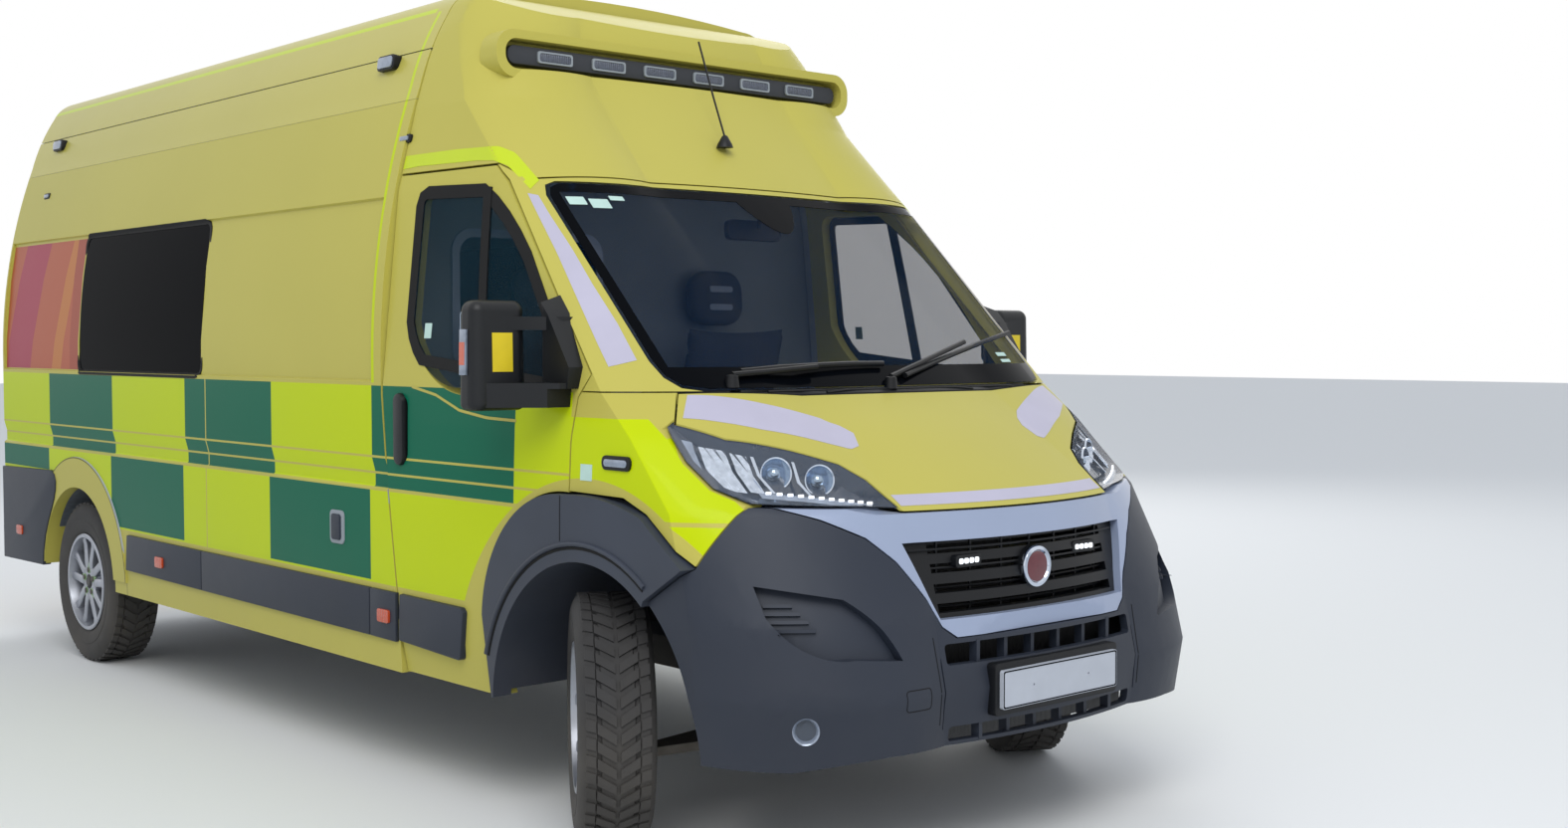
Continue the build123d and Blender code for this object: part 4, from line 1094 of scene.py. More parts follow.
def laid(name: str, skin: Surface, edges: tuple[list[Flat], list[Flat]], view: View,
         finish: Finish, ride: str, slot: str, side: Side = Side.RIGHT, count: int = 16,
         bevel: float = 0.0, **how: float) -> None:
    """Lays a band between two lines on the bodywork as a piece of its own.

    Args:
        name: The piece's name.
        skin: The faces that carry it.
        edges: The corners of its two long edges.
        view: The direction from which it is laid.
        finish: Its finish.
        ride: The body that it rides on.
        slot: The record's material slot; not used.
        side: Which side, for a side view.
        count: Points along each edge.
        bevel: Width of a small bevel on its sharp edges.
        how: Lift, depth and faces across, as Surface.band takes them.
    """
    mesh = bmesh.new()
    skin.band(mesh, (along(edges[0], count), along(edges[1], count)), view, side, **how)
    fit(name, mesh, finish, ride, bevel)


def label(x: float, y: float, width: float, height: float) -> tuple[list[Flat], list[Flat]]:
    """Returns the lower and the upper edge of an upright rectangle round a spot."""
    across = (x - width / 2, x + width / 2)
    return ([(v, y - height / 2) for v in across], [(v, y + height / 2) for v in across])


def flipped(points: tuple[Flat, ...], s: int) -> list[Flat]:
    """Turns Y and Z on the right side into the same spots on side s."""
    return [(y * s, z) for y, z in points]


def copied(name: str, node: str, keep: Callable[[Vector], bool], finish: Finish,
           lift: float = 0.0, depth: float = 0.0) -> Piece:
    """Copies some of a CAD node's faces into a new piece.

    Args:
        name: The new piece's name.
        node: The CAD node.
        keep: Tells from a face's normal whether it is copied.
        finish: The piece's finish.
        lift: How far the copy is moved along its normals.
        depth: Thickness that it gets.

    Returns:
        The new piece.
    """
    mesh = bmesh.new()
    mesh.from_mesh(frame["nodes"][node].data)
    bmesh.ops.remove_doubles(mesh, verts=mesh.verts, dist=MERGE)
    mesh.normal_update()
    away = [f for f in mesh.faces if not keep(f.normal)]
    bmesh.ops.delete(mesh, geom=away, context="FACES")
    mesh.normal_update()
    if lift:
        moves = [(v, v.normal * lift) for v in mesh.verts]
        for vert, way in moves:
            vert.co += way
    if depth:
        bmesh.ops.solidify(mesh, geom=mesh.faces, thickness=depth)
        # The rim comes in another order each run, so points and faces get a fixed one
        for rank, vert in enumerate(sorted(mesh.verts, key=lambda v: tuple(v.co))):
            vert.index = rank
        for rank, face in enumerate(sorted(mesh.faces,
                                           key=lambda f: tuple(f.calc_center_median()))):
            face.index = rank
        mesh.verts.sort()
        mesh.faces.sort()
    return finish_mesh(name, mesh, finish)


def skinned(node: str, finish: Finish, bevel: float) -> None:
    """Shows a CAD node through a smooth skin of the same shape.

    Args:
        node: The CAD node.
        finish: The skin's finish.
        bevel: Width of the small bevel on its sharp edges.
    """
    mesh = bmesh.new()
    mesh.from_mesh(frame["nodes"][node].data)
    bmesh.ops.remove_doubles(mesh, verts=mesh.verts, dist=MERGE)
    bmesh.ops.dissolve_limit(mesh, angle_limit=math.radians(0.3), verts=mesh.verts,
                             edges=mesh.edges)
    piece = finish_mesh(f"{node}_skin", mesh, finish, 36.0, bevel)
    shading = piece.modifiers.new("even_shading", "WEIGHTED_NORMAL")
    shading.keep_sharp = True
    attach(piece, frame["nodes"][node]["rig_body"])
    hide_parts(node)


def bent(a: Flat, middle: Flat, b: Flat, count: int = 8) -> list[Flat]:
    """Returns points on a smooth curve through three points.

    Args:
        a: The first point.
        middle: A point near its middle.
        b: The last point.
        count: How many points come back.

    Returns:
        The points, ends included.
    """
    pull = (2 * middle[0] - (a[0] + b[0]) / 2, 2 * middle[1] - (a[1] + b[1]) / 2)
    out = []
    for k in range(count):
        t = k / (count - 1)
        w = ((1 - t) ** 2, 2 * t * (1 - t), t * t)
        out.append((w[0] * a[0] + w[1] * pull[0] + w[2] * b[0],
                    w[0] * a[1] + w[1] * pull[1] + w[2] * b[1]))
    return out


def grown(outline: list[Flat], by: float) -> list[Flat]:
    """Moves each point of a closed outline outwards.

    Args:
        outline: The outline.
        by: The distance.

    Returns:
        The moved outline.
    """
    count = len(outline)
    area = sum(outline[i][0] * outline[(i + 1) % count][1]
               - outline[(i + 1) % count][0] * outline[i][1] for i in range(count))
    sign = 1 if area > 0 else -1
    out = []
    for i, (x, y) in enumerate(outline):
        a, b = outline[i - 1], outline[(i + 1) % count]
        dx, dy = b[0] - a[0], b[1] - a[1]
        size = math.hypot(dx, dy) or 1.0
        out.append((x + sign * by * dy / size, y - sign * by * dx / size))
    return out


def shifted(outline: list[Flat], x: float, y: float) -> list[Flat]:
    """Returns an outline moved in its plane."""
    return [(a + x, b + y) for a, b in outline]


def box_at(mesh: Mesh, low: Point, high: Point) -> None:
    """Adds a block between two corners.

    Args:
        mesh: The bmesh.
        low: Its lowest corner.
        high: Its highest corner.
    """
    corners = [Vector((x, y, low[2])) for x, y in
               ((low[0], low[1]), (high[0], low[1]), (high[0], high[1]), (low[0], high[1]))]
    prism(mesh, corners, Vector((0.0, 0.0, high[2] - low[2])))


SIDE_WINDOW = shifted(rounded(1.360, 0.622, 0.040), -1.280, 1.670)
SLIDING_WINDOW = shifted(rounded(1.000, 0.540, 0.050), 0.235, 1.672)
DOOR_WINDOW = ([(1.040, 1.560), (1.034, 1.950), (1.046, 1.985), (1.080, 2.000)]
               + bent((1.390, 1.990), (1.640, 1.800), (1.880, 1.500))
               + [(1.955, 1.400), (1.900, 1.352)]
               + bent((1.420, 1.322), (1.160, 1.410), (1.040, 1.560))[:-1])
# Each finish with the bevel of its skins, or None where the CAD faces show as they are
DRESSING = (
    (SIDE_PAINT, 0.0025, ("side_panel_right", "side_panel_left", "sliding_door",
                          "cab_door_right", "cab_door_left", "wing_right", "wing_left")),
    (ROOF_PAINT, 0.004, ("roof",)),
    (COACH_PAINT, 0.003, ("roof_fairing", "cab_frame", "bonnet")),
    (SCREEN_GLASS, 0.0, ("windscreen",)),
    (DOOR_GLASS, 0.0, ("door_glass_right", "door_glass_left")),
    (DARK_GLASS, 0.0, ("side_glass_right", "side_glass_left", "sliding_glass",
                       "rear_glass_right", "rear_glass_left")),
    (MIRROR_PLASTIC, 0.002, ("mirror_right", "mirror_left")),
    (BLACK_PLASTIC, 0.001, ("cowl", "grille")),
    (ARCH_PLASTIC, 0.004, ("arch_right", "arch_left")),
    (BUMPER_PLASTIC, 0.003, ("front_bumper", "rear_bumper")),
    (SILVER_TRIM, 0.002, ("grille_surround",)),
    (PLATE_FILM, 0.001, ("front_plate",)),
    (RED_LENS, 0.002, ("tail_lamp_right", "tail_lamp_left")),
    (CHEVRONS, 0.002, ("rear_door_right", "rear_door_left")),
    (TRIM_GREY, 0.004, ("dashboard",)),
    (LINER_FLOOR, None, ("load_floor",)),
    (TRIM_GREY, None, ("cab_floor",)),
    (CRATE_GREY, None, ("bulkhead",)),
    (CHASSIS_PAINT, None, ("chassis", "engine")),
    (STEEL, None, ("front_subframe", "knuckle_right", "knuckle_left", "rear_axle")),
)


@dataclass
class Bodywork:
    """The painted panels: their finishes, film, window rubbers and side trim."""

    seal: float = 0.014
    door_frame: float = 0.014

    def dress(self) -> None:
        """Gives every CAD node that shows its finish."""
        for finish, bevel, nodes in DRESSING:
            dress(finish, *nodes)
            if bevel is not None:
                for node in nodes:
                    skinned(node, finish, bevel)

    def rubber(self, name: str, nodes: tuple[str, ...], outline: list[Flat], side: Side,
               body: str, width: float, reveal: float = 0.008) -> None:
        """Lays a rubber seal round a window.

        Args:
            name: The seal's name.
            nodes: The panel and glass that carry it.
            outline: The window's outline from the side.
            side: Which side.
            body: The body that it rides on.
            width: How far it reaches onto the panel.
            reveal: How far it reaches onto the glass.
        """
        mesh = bmesh.new()
        Surface(*nodes).band(mesh, (grown(outline, -reveal), grown(outline, width)), View.SIDE,
                             side, 0.0025, 4, 0.006, True)
        fit(name, mesh, RUBBER_SEAL, body)

    def build(self) -> None:
        """Builds the seals, strips and side details."""
        for side in Side:
            word = side.word
            self.rubber(f"side_window_seal_{word}", (f"side_panel_{word}", f"side_glass_{word}"),
                        SIDE_WINDOW, side, "body", self.seal)
            self.rubber(f"door_window_seal_{word}",
                        (f"cab_door_{word}", f"door_glass_{word}", "cab_frame"),
                        DOOR_WINDOW, side, f"door_{word}", self.door_frame, 0.030)
            self.divider(side)
            self.film(side)
            self.moulding(side)
            self.markers(side)
            self.handle(side)
            self.arch_trim(side)
        self.rubber("sliding_window_seal", ("sliding_door", "sliding_glass"), SLIDING_WINDOW,
                    Side.LEFT, "body", self.seal)

    def divider(self, side: Side) -> None:
        """Builds the bar across the cab door's window.

        Args:
            side: Which side.
        """
        word = side.word
        laid(f"door_window_divider_{word}", Surface(f"door_glass_{word}", f"cab_door_{word}"),
             ([(1.388, 1.995), (1.475, 1.340)], [(1.431, 1.990), (1.518, 1.340)]), View.SIDE,
             RUBBER_SEAL, f"door_{word}", "black_plastic", side, 12, lift=0.004, depth=0.008)

    def film(self, side: Side) -> None:
        """Lays the strips of film on the brow, door, pillar and bonnet.

        Args:
            side: Which side.
        """
        s = side.value
        word = side.word
        low = [(0.905, 2.083), (0.991, 2.088), (1.216, 2.085), (1.324, 2.084), (1.415, 2.077),
               (1.470, 2.058), (1.525, 2.020), (1.579, 1.976)]
        high = [(0.905, 2.129), (0.991, 2.130), (1.203, 2.130), (1.311, 2.127), (1.405, 2.125),
                (1.458, 2.103), (1.516, 2.061), (1.579, 2.006)]
        laid(f"brow_film_{word}", Surface("roof_fairing", "cab_frame"), (low, high), View.SIDE,
             LIME_FILM, "body", "body_paint", side, 60, across=8)
        curve = [(1.090, 1.340), (1.237, 1.316), (1.382, 1.269), (1.540, 1.250), (1.702, 1.246)]
        laid(f"door_line_{word}", Surface(f"cab_door_{word}"),
             (curve, [(x, z + 0.009) for x, z in curve]), View.SIDE, BARE_LINE,
             f"door_{word}", "body_paint", side, 30)
        outer = ((0.882, 1.962), (0.889, 1.893), (0.901, 1.763), (0.919, 1.623),
                 (0.936, 1.488), (0.943, 1.420))
        inner = ((0.861, 1.955), (0.863, 1.893), (0.861, 1.779), (0.865, 1.669),
                 (0.864, 1.548), (0.872, 1.439))
        laid(f"pillar_film_{word}", Surface("cab_frame"),
             (flipped(outer, s), flipped(inner, s)), View.FRONT, WHITE_FILM, "body",
             "body_paint", count=30)
        inner = [(2.284, 0.802), (2.323, 0.728), (2.390, 0.602), (2.467, 0.447), (2.505, 0.405),
                 (2.545, 0.383)]
        outer = [(2.331, 0.856), (2.400, 0.765), (2.466, 0.672), (2.560, 0.504), (2.592, 0.440),
                 (2.590, 0.405)]
        laid(f"bonnet_film_{word}", Surface("bonnet"),
             ([(x, y * s) for x, y in inner], [(x, y * s) for x, y in outer]), View.TOP,
             WHITE_FILM, "bonnet", "body_paint", count=36, across=5)

    def plate(self, side: Side, name: str, outline: list[Flat], inner: float, outer: float,
              bevel: float = 0.003, finish: Finish = BUMPER_PLASTIC, ride: str = "body",
              slot: str = "grey_plastic") -> None:
        """Builds a flat plate on the side.

        Args:
            side: Which side.
            name: The piece's name, without the side's word.
            outline: Its outline in X and Z.
            inner: Its inner face's distance from the middle.
            outer: Its outer face's distance from the middle.
            bevel: Width of a small bevel on its sharp edges.
            finish: Its finish.
            ride: The body that it rides on.
            slot: The record's material slot; not used.
        """
        mesh = bmesh.new()
        prism(mesh, [Vector((x, side.value * inner, z)) for x, z in outline],
              Vector((0.0, side.value * (outer - inner), 0.0)))
        fit(f"{name}_{side.word}", mesh, finish, ride, bevel)

    def moulding(self, side: Side) -> None:
        """Builds the side mouldings that the CAD leaves out.

        Args:
            side: Which side.
        """
        self.plate(side, "door_moulding", [
            (1.020, 0.486), (1.026, 0.645), (1.418, 0.642), (1.432, 0.628), (1.412, 0.478),
            (1.400, 0.470)], 1.005, 1.040, 0.006, ride=f"door_{side.word}")
        self.plate(side, "quarter_moulding", [
            (-2.986, 0.402), (-2.986, 0.866), (-2.300, 0.880), (-2.254, 0.864),
            (-2.235, 0.828), (-2.240, 0.790), (-2.262, 0.742), (-2.290, 0.702),
            (-2.342, 0.632), (-2.386, 0.560), (-2.414, 0.480), (-2.422, 0.412)],
            1.000, 1.0415, 0.006)
        for k, (rear, front, low, end) in enumerate(((-1.376, -0.578, 0.489, 0.485),
                                                     (-0.573, 0.820, 0.485, 0.480),
                                                     (0.825, 1.002, 0.480, 0.478))):
            self.plate(side, f"long_moulding_{k}", [
                (rear, low), (rear + 0.016 * (k < 1), 0.646), (front, 0.646), (front, end)],
                1.024, 1.0405, 0.005)
        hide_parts(f"strip_{side.word}")

    def markers(self, side: Side) -> None:
        """Builds the side markers, the repeater and the blank labels.

        Args:
            side: Which side.
        """
        s = side.value
        word = side.word
        mesh = bmesh.new()
        for x in (-2.735, -0.994, 0.927):
            place = facing((x, s * 1.040, 0.560), (0.0, s, 0.0))
            slab(mesh, place, rounded(0.078, 0.046, 0.010), -0.002, 0.009)
        fit(f"side_markers_{word}", mesh, AMBER_LENS, "body", bevel=0.003)
        lamp = (2.216, 1.146)
        spot = Surface(f"wing_{word}").at(lamp, View.SIDE, side)
        out = abs(spot.y)
        self.plate(side, "repeater_base", shifted(rounded(0.136, 0.042, 0.018), *lamp),
                   out - 0.010, out + 0.007, 0.003, BLACK_PLASTIC, slot="black_plastic")
        self.plate(side, "repeater_lens", shifted(rounded(0.108, 0.022, 0.010), *lamp),
                   out, out + 0.010, 0.002, SATIN_GUIDE, slot="lamp_lens")
        skin = Surface(f"wing_{word}", f"door_glass_{word}")
        for k, (x, z, w, h, ride) in enumerate((
                (2.070, 1.112, 0.056, 0.048, "body"),
                (1.160, 1.530, 0.040, 0.050, f"door_{word}"))):
            laid(f"side_label_{k}_{word}", skin, label(x, z, w, h), View.SIDE, PALE_LABEL,
                 ride, "plate", side, 6)

    def handle(self, side: Side) -> None:
        """Builds the handle of the cab door.

        Args:
            side: Which side.
        """
        for name, form, x, z, inner, outer, finish, bevel in (
                ("handle_recess", (0.100, 0.266, 0.046, 6), 1.022, 1.200, 0.984, 0.998,
                 BLACK_PLASTIC, 0.003),
                ("door_handle", (0.064, 0.244, 0.031, 6), 1.020, 1.200, 1.006, 1.038,
                 MIRROR_PLASTIC, 0.012),
                ("handle_foot", (0.050, 0.060, 0.020, 6), 1.020, 1.106, 0.990, 1.012,
                 MIRROR_PLASTIC, 0.004)):
            self.plate(side, name, shifted(rounded(*form), x, z), inner, outer, bevel, finish,
                       f"door_{side.word}", "black_plastic")

    def arch_trim(self, side: Side) -> None:
        """Builds the bead and seam of the front arch, and on the right the socket.

        Args:
            side: Which side.
        """
        word = side.word
        arch = Surface(f"arch_{word}")
        # The bead stands proud; the groove is a black tube sunk into the arch, painted shade in
        # the step under the bead
        for name, radius, lift, finish in (("arch_bead", 0.532, 0.001, ARCH_PLASTIC),
                                           ("arch_groove", 0.520, -0.004, RUBBER_SEAL)):
            mesh = bmesh.new()
            path = arch.line([(FRONT_ARCH - radius * math.cos(a),
                               TYRE_RADIUS + radius * math.sin(a))
                              for a in (math.radians(3 + 4.2 * k) for k in range(36))],
                             View.SIDE, side, lift)
            tube(mesh, path, 0.008 if lift > 0 else 0.007, 8)
            fit(f"{name}_{word}", mesh, finish, "body")
        laid(f"arch_seam_{word}", arch, ([(1.969, 0.905), (1.971, 1.040)],
                                         [(1.973, 0.905), (1.975, 1.040)]), View.SIDE,
             RUBBER_SEAL, "body", "grey_plastic", side, 12, lift=0.0006)
        if side is Side.RIGHT:
            socket = (0.574, 0.836)
            self.plate(side, "socket_frame", shifted(rounded(0.104, 0.120, 0.020, 6), *socket),
                       1.018, 1.032, 0.003, CRATE_GREY)
            self.plate(side, "socket_cover", shifted(rounded(0.066, 0.092, 0.012, 6), *socket),
                       1.026, 1.038, 0.004)


@dataclass
class Wheel:
    """A road wheel, drawn round its own axis Y with its outer face to -Y."""

    name: str
    body: str
    centre: Point
    turn: float
    sectors: int = 46
    studs: int = 5

    @property
    def place(self) -> Matrix:
        """Where the wheel stands on the vehicle."""
        return Matrix.Translation(Vector(self.centre)) @ Matrix.Rotation(
            math.radians(self.turn), 4, "Z")

    def turned(self, name: str, profile: list[Flat], finish: Finish, slot: str,
               steps: int = 96) -> Piece:
        """Builds a piece that is turned about the wheel's axis.

        Args:
            name: The piece's name.
            profile: Radius and Y of each point of the closed section.
            finish: Its finish.
            slot: The record's slot; not used.
            steps: Steps round the axis.

        Returns:
            The piece.
        """
        mesh = bmesh.new()
        lay = Matrix.Rotation(math.radians(-90), 4, "X")
        revolved(mesh, profile, lay, steps)
        return attach(moved(finish_mesh(name, mesh, finish, 30), self.place), self.body)

    def spokes(self) -> Piece:
        """Builds the five twin spokes by repeating one pair."""
        mesh = bmesh.new()
        stations = ((0.060, 0.021, 0.0205, -0.090), (0.090, 0.027, 0.0200, -0.092),
                    (0.130, 0.037, 0.0190, -0.090), (0.170, 0.047, 0.0190, -0.088),
                    (0.205, 0.056, 0.0220, -0.094))
        for lean in (-1, 1):
            rings = []
            for radius, offset, half, face in stations:
                x = lean * offset
                rings.append([Vector((x + dx, face + dy, radius)) for dx, dy in
                              ((-half, 0.004), (-half * 0.6, 0.0), (half * 0.6, 0.0),
                               (half, 0.004), (half * 0.8, 0.034), (-half * 0.8, 0.034))])
            skin_rings(mesh, rings, True, True)
        web = [(0.060, 0.012, -0.070), (0.100, 0.016, -0.068)]
        skin_rings(mesh, [[Vector((-x, y, r)), Vector((x, y, r)), Vector((x, y + 0.02, r)),
                           Vector((-x, y + 0.02, r))] for r, x, y in web], True, True)
        piece = finish_mesh(f"spokes_{self.name}", mesh, ALLOY, 32, bevel=0.0022)
        repeated(piece, self.studs, turn=(0.0, math.radians(360 / self.studs), 0.0))
        return attach(moved(piece, self.place), self.body)

    def tread(self) -> Piece:
        """Builds the tread by repeating one sector of blocks."""
        mesh = bmesh.new()
        sector = 2 * math.pi / self.sectors
        blocks = []
        for s in (-1, 1):
            blocks.append(((0.05, 0.092, 0.70), (0.22, 0.064, 0.86), s, 0.366, 0.3712))
            blocks.append(((0.30, 0.060, 0.92), (1.02, 0.006, 1.60), s, 0.3665, 0.3719))
        for outer, inner, s, low, high in blocks:
            rings = []
            for start, y, end in (outer, inner):
                row = []
                for share, radius in ((start, low - 0.008), (start, high),
                                      ((start + end) / 2, high), (end, high),
                                      (end, low - 0.008)):
                    a = sector * share
                    row.append(Vector((radius * math.sin(a), s * y, radius * math.cos(a))))
                rings.append(row)
            skin_rings(mesh, rings, True, True)
        piece = finish_mesh(f"tread_{self.name}", mesh, TYRE_RUBBER, 30)
        repeated(piece, self.sectors, turn=(0.0, sector, 0.0))
        return attach(moved(piece, self.place), self.body)

    def nuts(self) -> None:
        """Builds the wheel nuts and their pale green pointers."""
        for label, finish in (("nuts", STEEL), ("pointers", POINTER_PLASTIC)):
            mesh = bmesh.new()
            place = Matrix.Translation((0.0, -0.084, 0.055)) @ Matrix.Rotation(
                math.radians(90), 4, "X")
            if label == "nuts":
                slab(mesh, place, circle(0.0125, 6), -0.012, 0.010)
            else:
                slab(mesh, place, circle(0.017, 12), 0.0, 0.006)
                slab(mesh, place, [(-0.012, 0.010), (0.012, 0.010), (0.0, 0.036)], 0.0, 0.004)
            piece = finish_mesh(f"{label}_{self.name}", mesh, finish, bevel=0.0012)
            repeated(piece, self.studs, turn=(0.0, math.radians(360 / self.studs), 0.0))
            attach(moved(piece, self.place), self.body)

    def build(self) -> None:
        """Builds tyre, rim, hub and nuts, which stand for the CAD rim and tyre."""
        tyre = self.turned(f"tyre_casing_{self.name}", [
            (0.217, -0.090), (0.232, -0.099), (0.240, -0.104), (0.246, -0.106),
            (0.262, -0.1085), (0.280, -0.1115), (0.288, -0.1118), (0.290, -0.1100),
            (0.296, -0.1105), (0.312, -0.1120), (0.328, -0.1105), (0.341, -0.1065),
            (0.350, -0.1025), (0.360, -0.0960), (0.366, -0.0880), (0.366, -0.062),
            (0.360, -0.058), (0.360, -0.050), (0.3655, -0.046), (0.3655, 0.046),
            (0.360, 0.050), (0.360, 0.058), (0.366, 0.062), (0.366, 0.088), (0.360, 0.096),
            (0.350, 0.1025), (0.328, 0.1105), (0.300, 0.112), (0.262, 0.1085),
            (0.240, 0.104), (0.217, 0.090)], TYRE_RUBBER, "tyre")
        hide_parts(f"tyre_{self.name}")
        self.tread()
        rim = self.turned(f"rim_barrel_{self.name}", [
            (0.208, -0.106), (0.222, -0.1065), (0.226, -0.103), (0.225, -0.098),
            (0.217, -0.095), (0.214, -0.080), (0.206, -0.060), (0.200, -0.020),
            (0.200, 0.060), (0.214, 0.092), (0.224, 0.098), (0.224, 0.105), (0.214, 0.105),
            (0.205, 0.092), (0.192, 0.060), (0.192, -0.020), (0.198, -0.060),
            (0.204, -0.090)], ALLOY, "rim_silver")
        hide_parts(f"rim_{self.name}")
        self.spokes()
        self.turned(f"rim_centre_{self.name}", [
            (0.030, -0.070), (0.034, -0.087), (0.066, -0.089), (0.078, -0.084),
            (0.080, -0.062), (0.060, -0.050), (0.030, -0.050)], ALLOY, "rim_silver", 64)
        self.turned(f"hub_cap_{self.name}", [
            (0.0005, -0.094), (0.020, -0.094), (0.028, -0.088), (0.031, -0.070),
            (0.031, -0.050), (0.0005, -0.050)], DARK_ALLOY, "rim_silver", 40)
        self.turned(f"brake_disc_{self.name}", [
            (0.050, -0.022), (0.140, -0.022), (0.140, 0.004), (0.050, 0.004)],
            STEEL, "steel_dark", 64)
        self.nuts()


@dataclass
class Headlamp:
    """A headlamp: clear lens, dark bowl, chromed reflectors and a row of lights."""

    side: Side

    def build(self) -> None:
        """Builds the lamp inside the CAD node's shape."""
        word = self.side.word
        s = self.side.value
        node = f"headlamp_{word}"

        def outer(normal: Vector) -> bool:
            """Picks the faces that look forwards, upwards or outwards."""
            return normal.x > 0.25 and (normal.z > 0.05 or normal.y * s > 0.3)

        def inner(normal: Vector) -> bool:
            """Picks all the other faces."""
            return not outer(normal)

        lens = copied(f"headlamp_lens_{word}", node, outer, CLEAR_LENS, 0.0, 0.002)
        attach(lens, "body")
        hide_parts(node)
        attach(copied(f"headlamp_bowl_{word}", node, inner, LAMP_BOWL, -0.0015), "body")
        attach(copied(f"headlamp_liner_{word}", node, outer, LAMP_BOWL, -0.046, 0.002), "body")
        skin = Surface(node)
        for name, finish, lift, rear, front in (
                ("guide", SATIN_GUIDE, -0.012,
                 ((0.911, 1.231), (0.918, 1.175), (0.911, 1.108), (0.838, 1.053)),
                 ((0.872, 1.216), (0.890, 1.160), (0.886, 1.086), (0.812, 1.060))),
                ("reflector_outer", FLUTED_CHROME, -0.018,
                 ((0.862, 1.208), (0.878, 1.150), (0.874, 1.092)),
                 ((0.806, 1.196), (0.822, 1.140), (0.822, 1.084))),
                ("reflector_inner", FLUTED_CHROME, -0.020,
                 ((0.796, 1.192), (0.812, 1.140), (0.812, 1.088)),
                 ((0.760, 1.182), (0.778, 1.130), (0.780, 1.082))),
                ("sweep", CHROME, -0.016,
                 ((0.752, 1.180), (0.770, 1.128), (0.764, 1.082)),
                 ((0.744, 1.178), (0.762, 1.128), (0.756, 1.081))),
                ("sweep_inner", CHROME, -0.016,
                 ((0.650, 1.164), (0.680, 1.110), (0.676, 1.074)),
                 ((0.643, 1.162), (0.671, 1.110), (0.668, 1.073))),
                ("led_shelf", SATIN_GUIDE, -0.010,
                 ((0.800, 1.080), (0.704, 1.070), (0.610, 1.057), (0.512, 1.042)),
                 ((0.800, 1.066), (0.704, 1.056), (0.610, 1.043), (0.518, 1.032)))):
            laid(f"headlamp_{name}_{word}", skin, (flipped(rear, s), flipped(front, s)),
                 View.FRONT, finish, "body", "lamp_lens", count=18, lift=lift, across=4)
        mesh = bmesh.new()
        ball = bmesh.new()
        for y, z, radius in ((0.716, 1.122, 0.043), (0.612, 1.102, 0.041)):
            spot = skin.at((y * s, z), View.FRONT)
            if spot is None:
                continue
            place = facing(tuple(spot - Vector((0.040, 0.012 * s, 0.002))), (1.0, 0.45 * s, 0.1))
            revolved(mesh, [(0.020, -0.020), (radius * 0.75, -0.008), (radius, 0.012),
                            (radius + 0.004, 0.013), (radius + 0.004, 0.006),
                            (radius * 0.75, -0.014), (0.020, -0.026)], place, 32)
            revolved(ball, [(0.0005, 0.010), (0.010, 0.008), (0.017, 0.001), (0.021, -0.010),
                            (0.021, -0.020), (0.0005, -0.020)], place, 28)
        fit(f"headlamp_bowls_{word}", mesh, CHROME, "body")
        fit(f"headlamp_projectors_{word}", ball, MIRROR_GLASS, "body")
        mesh = bmesh.new()
        row = along(flipped(((0.779, 1.072), (0.704, 1.063), (0.610, 1.050), (0.535, 1.040)), s),
                    11)
        for y, z in row:
            spot = skin.at((y, z), View.FRONT)
            if spot is not None:
                place = facing(tuple(spot - Vector((0.011, 0.003 * s, 0.0))),
                               (1.0, 0.5 * s, 0.15))
                slab(mesh, place, rounded(0.017, 0.009, 0.002, 2), 0.0, 0.005)
        fit(f"headlamp_leds_{word}", mesh, WHITE_LED, "body", bevel=0.001)


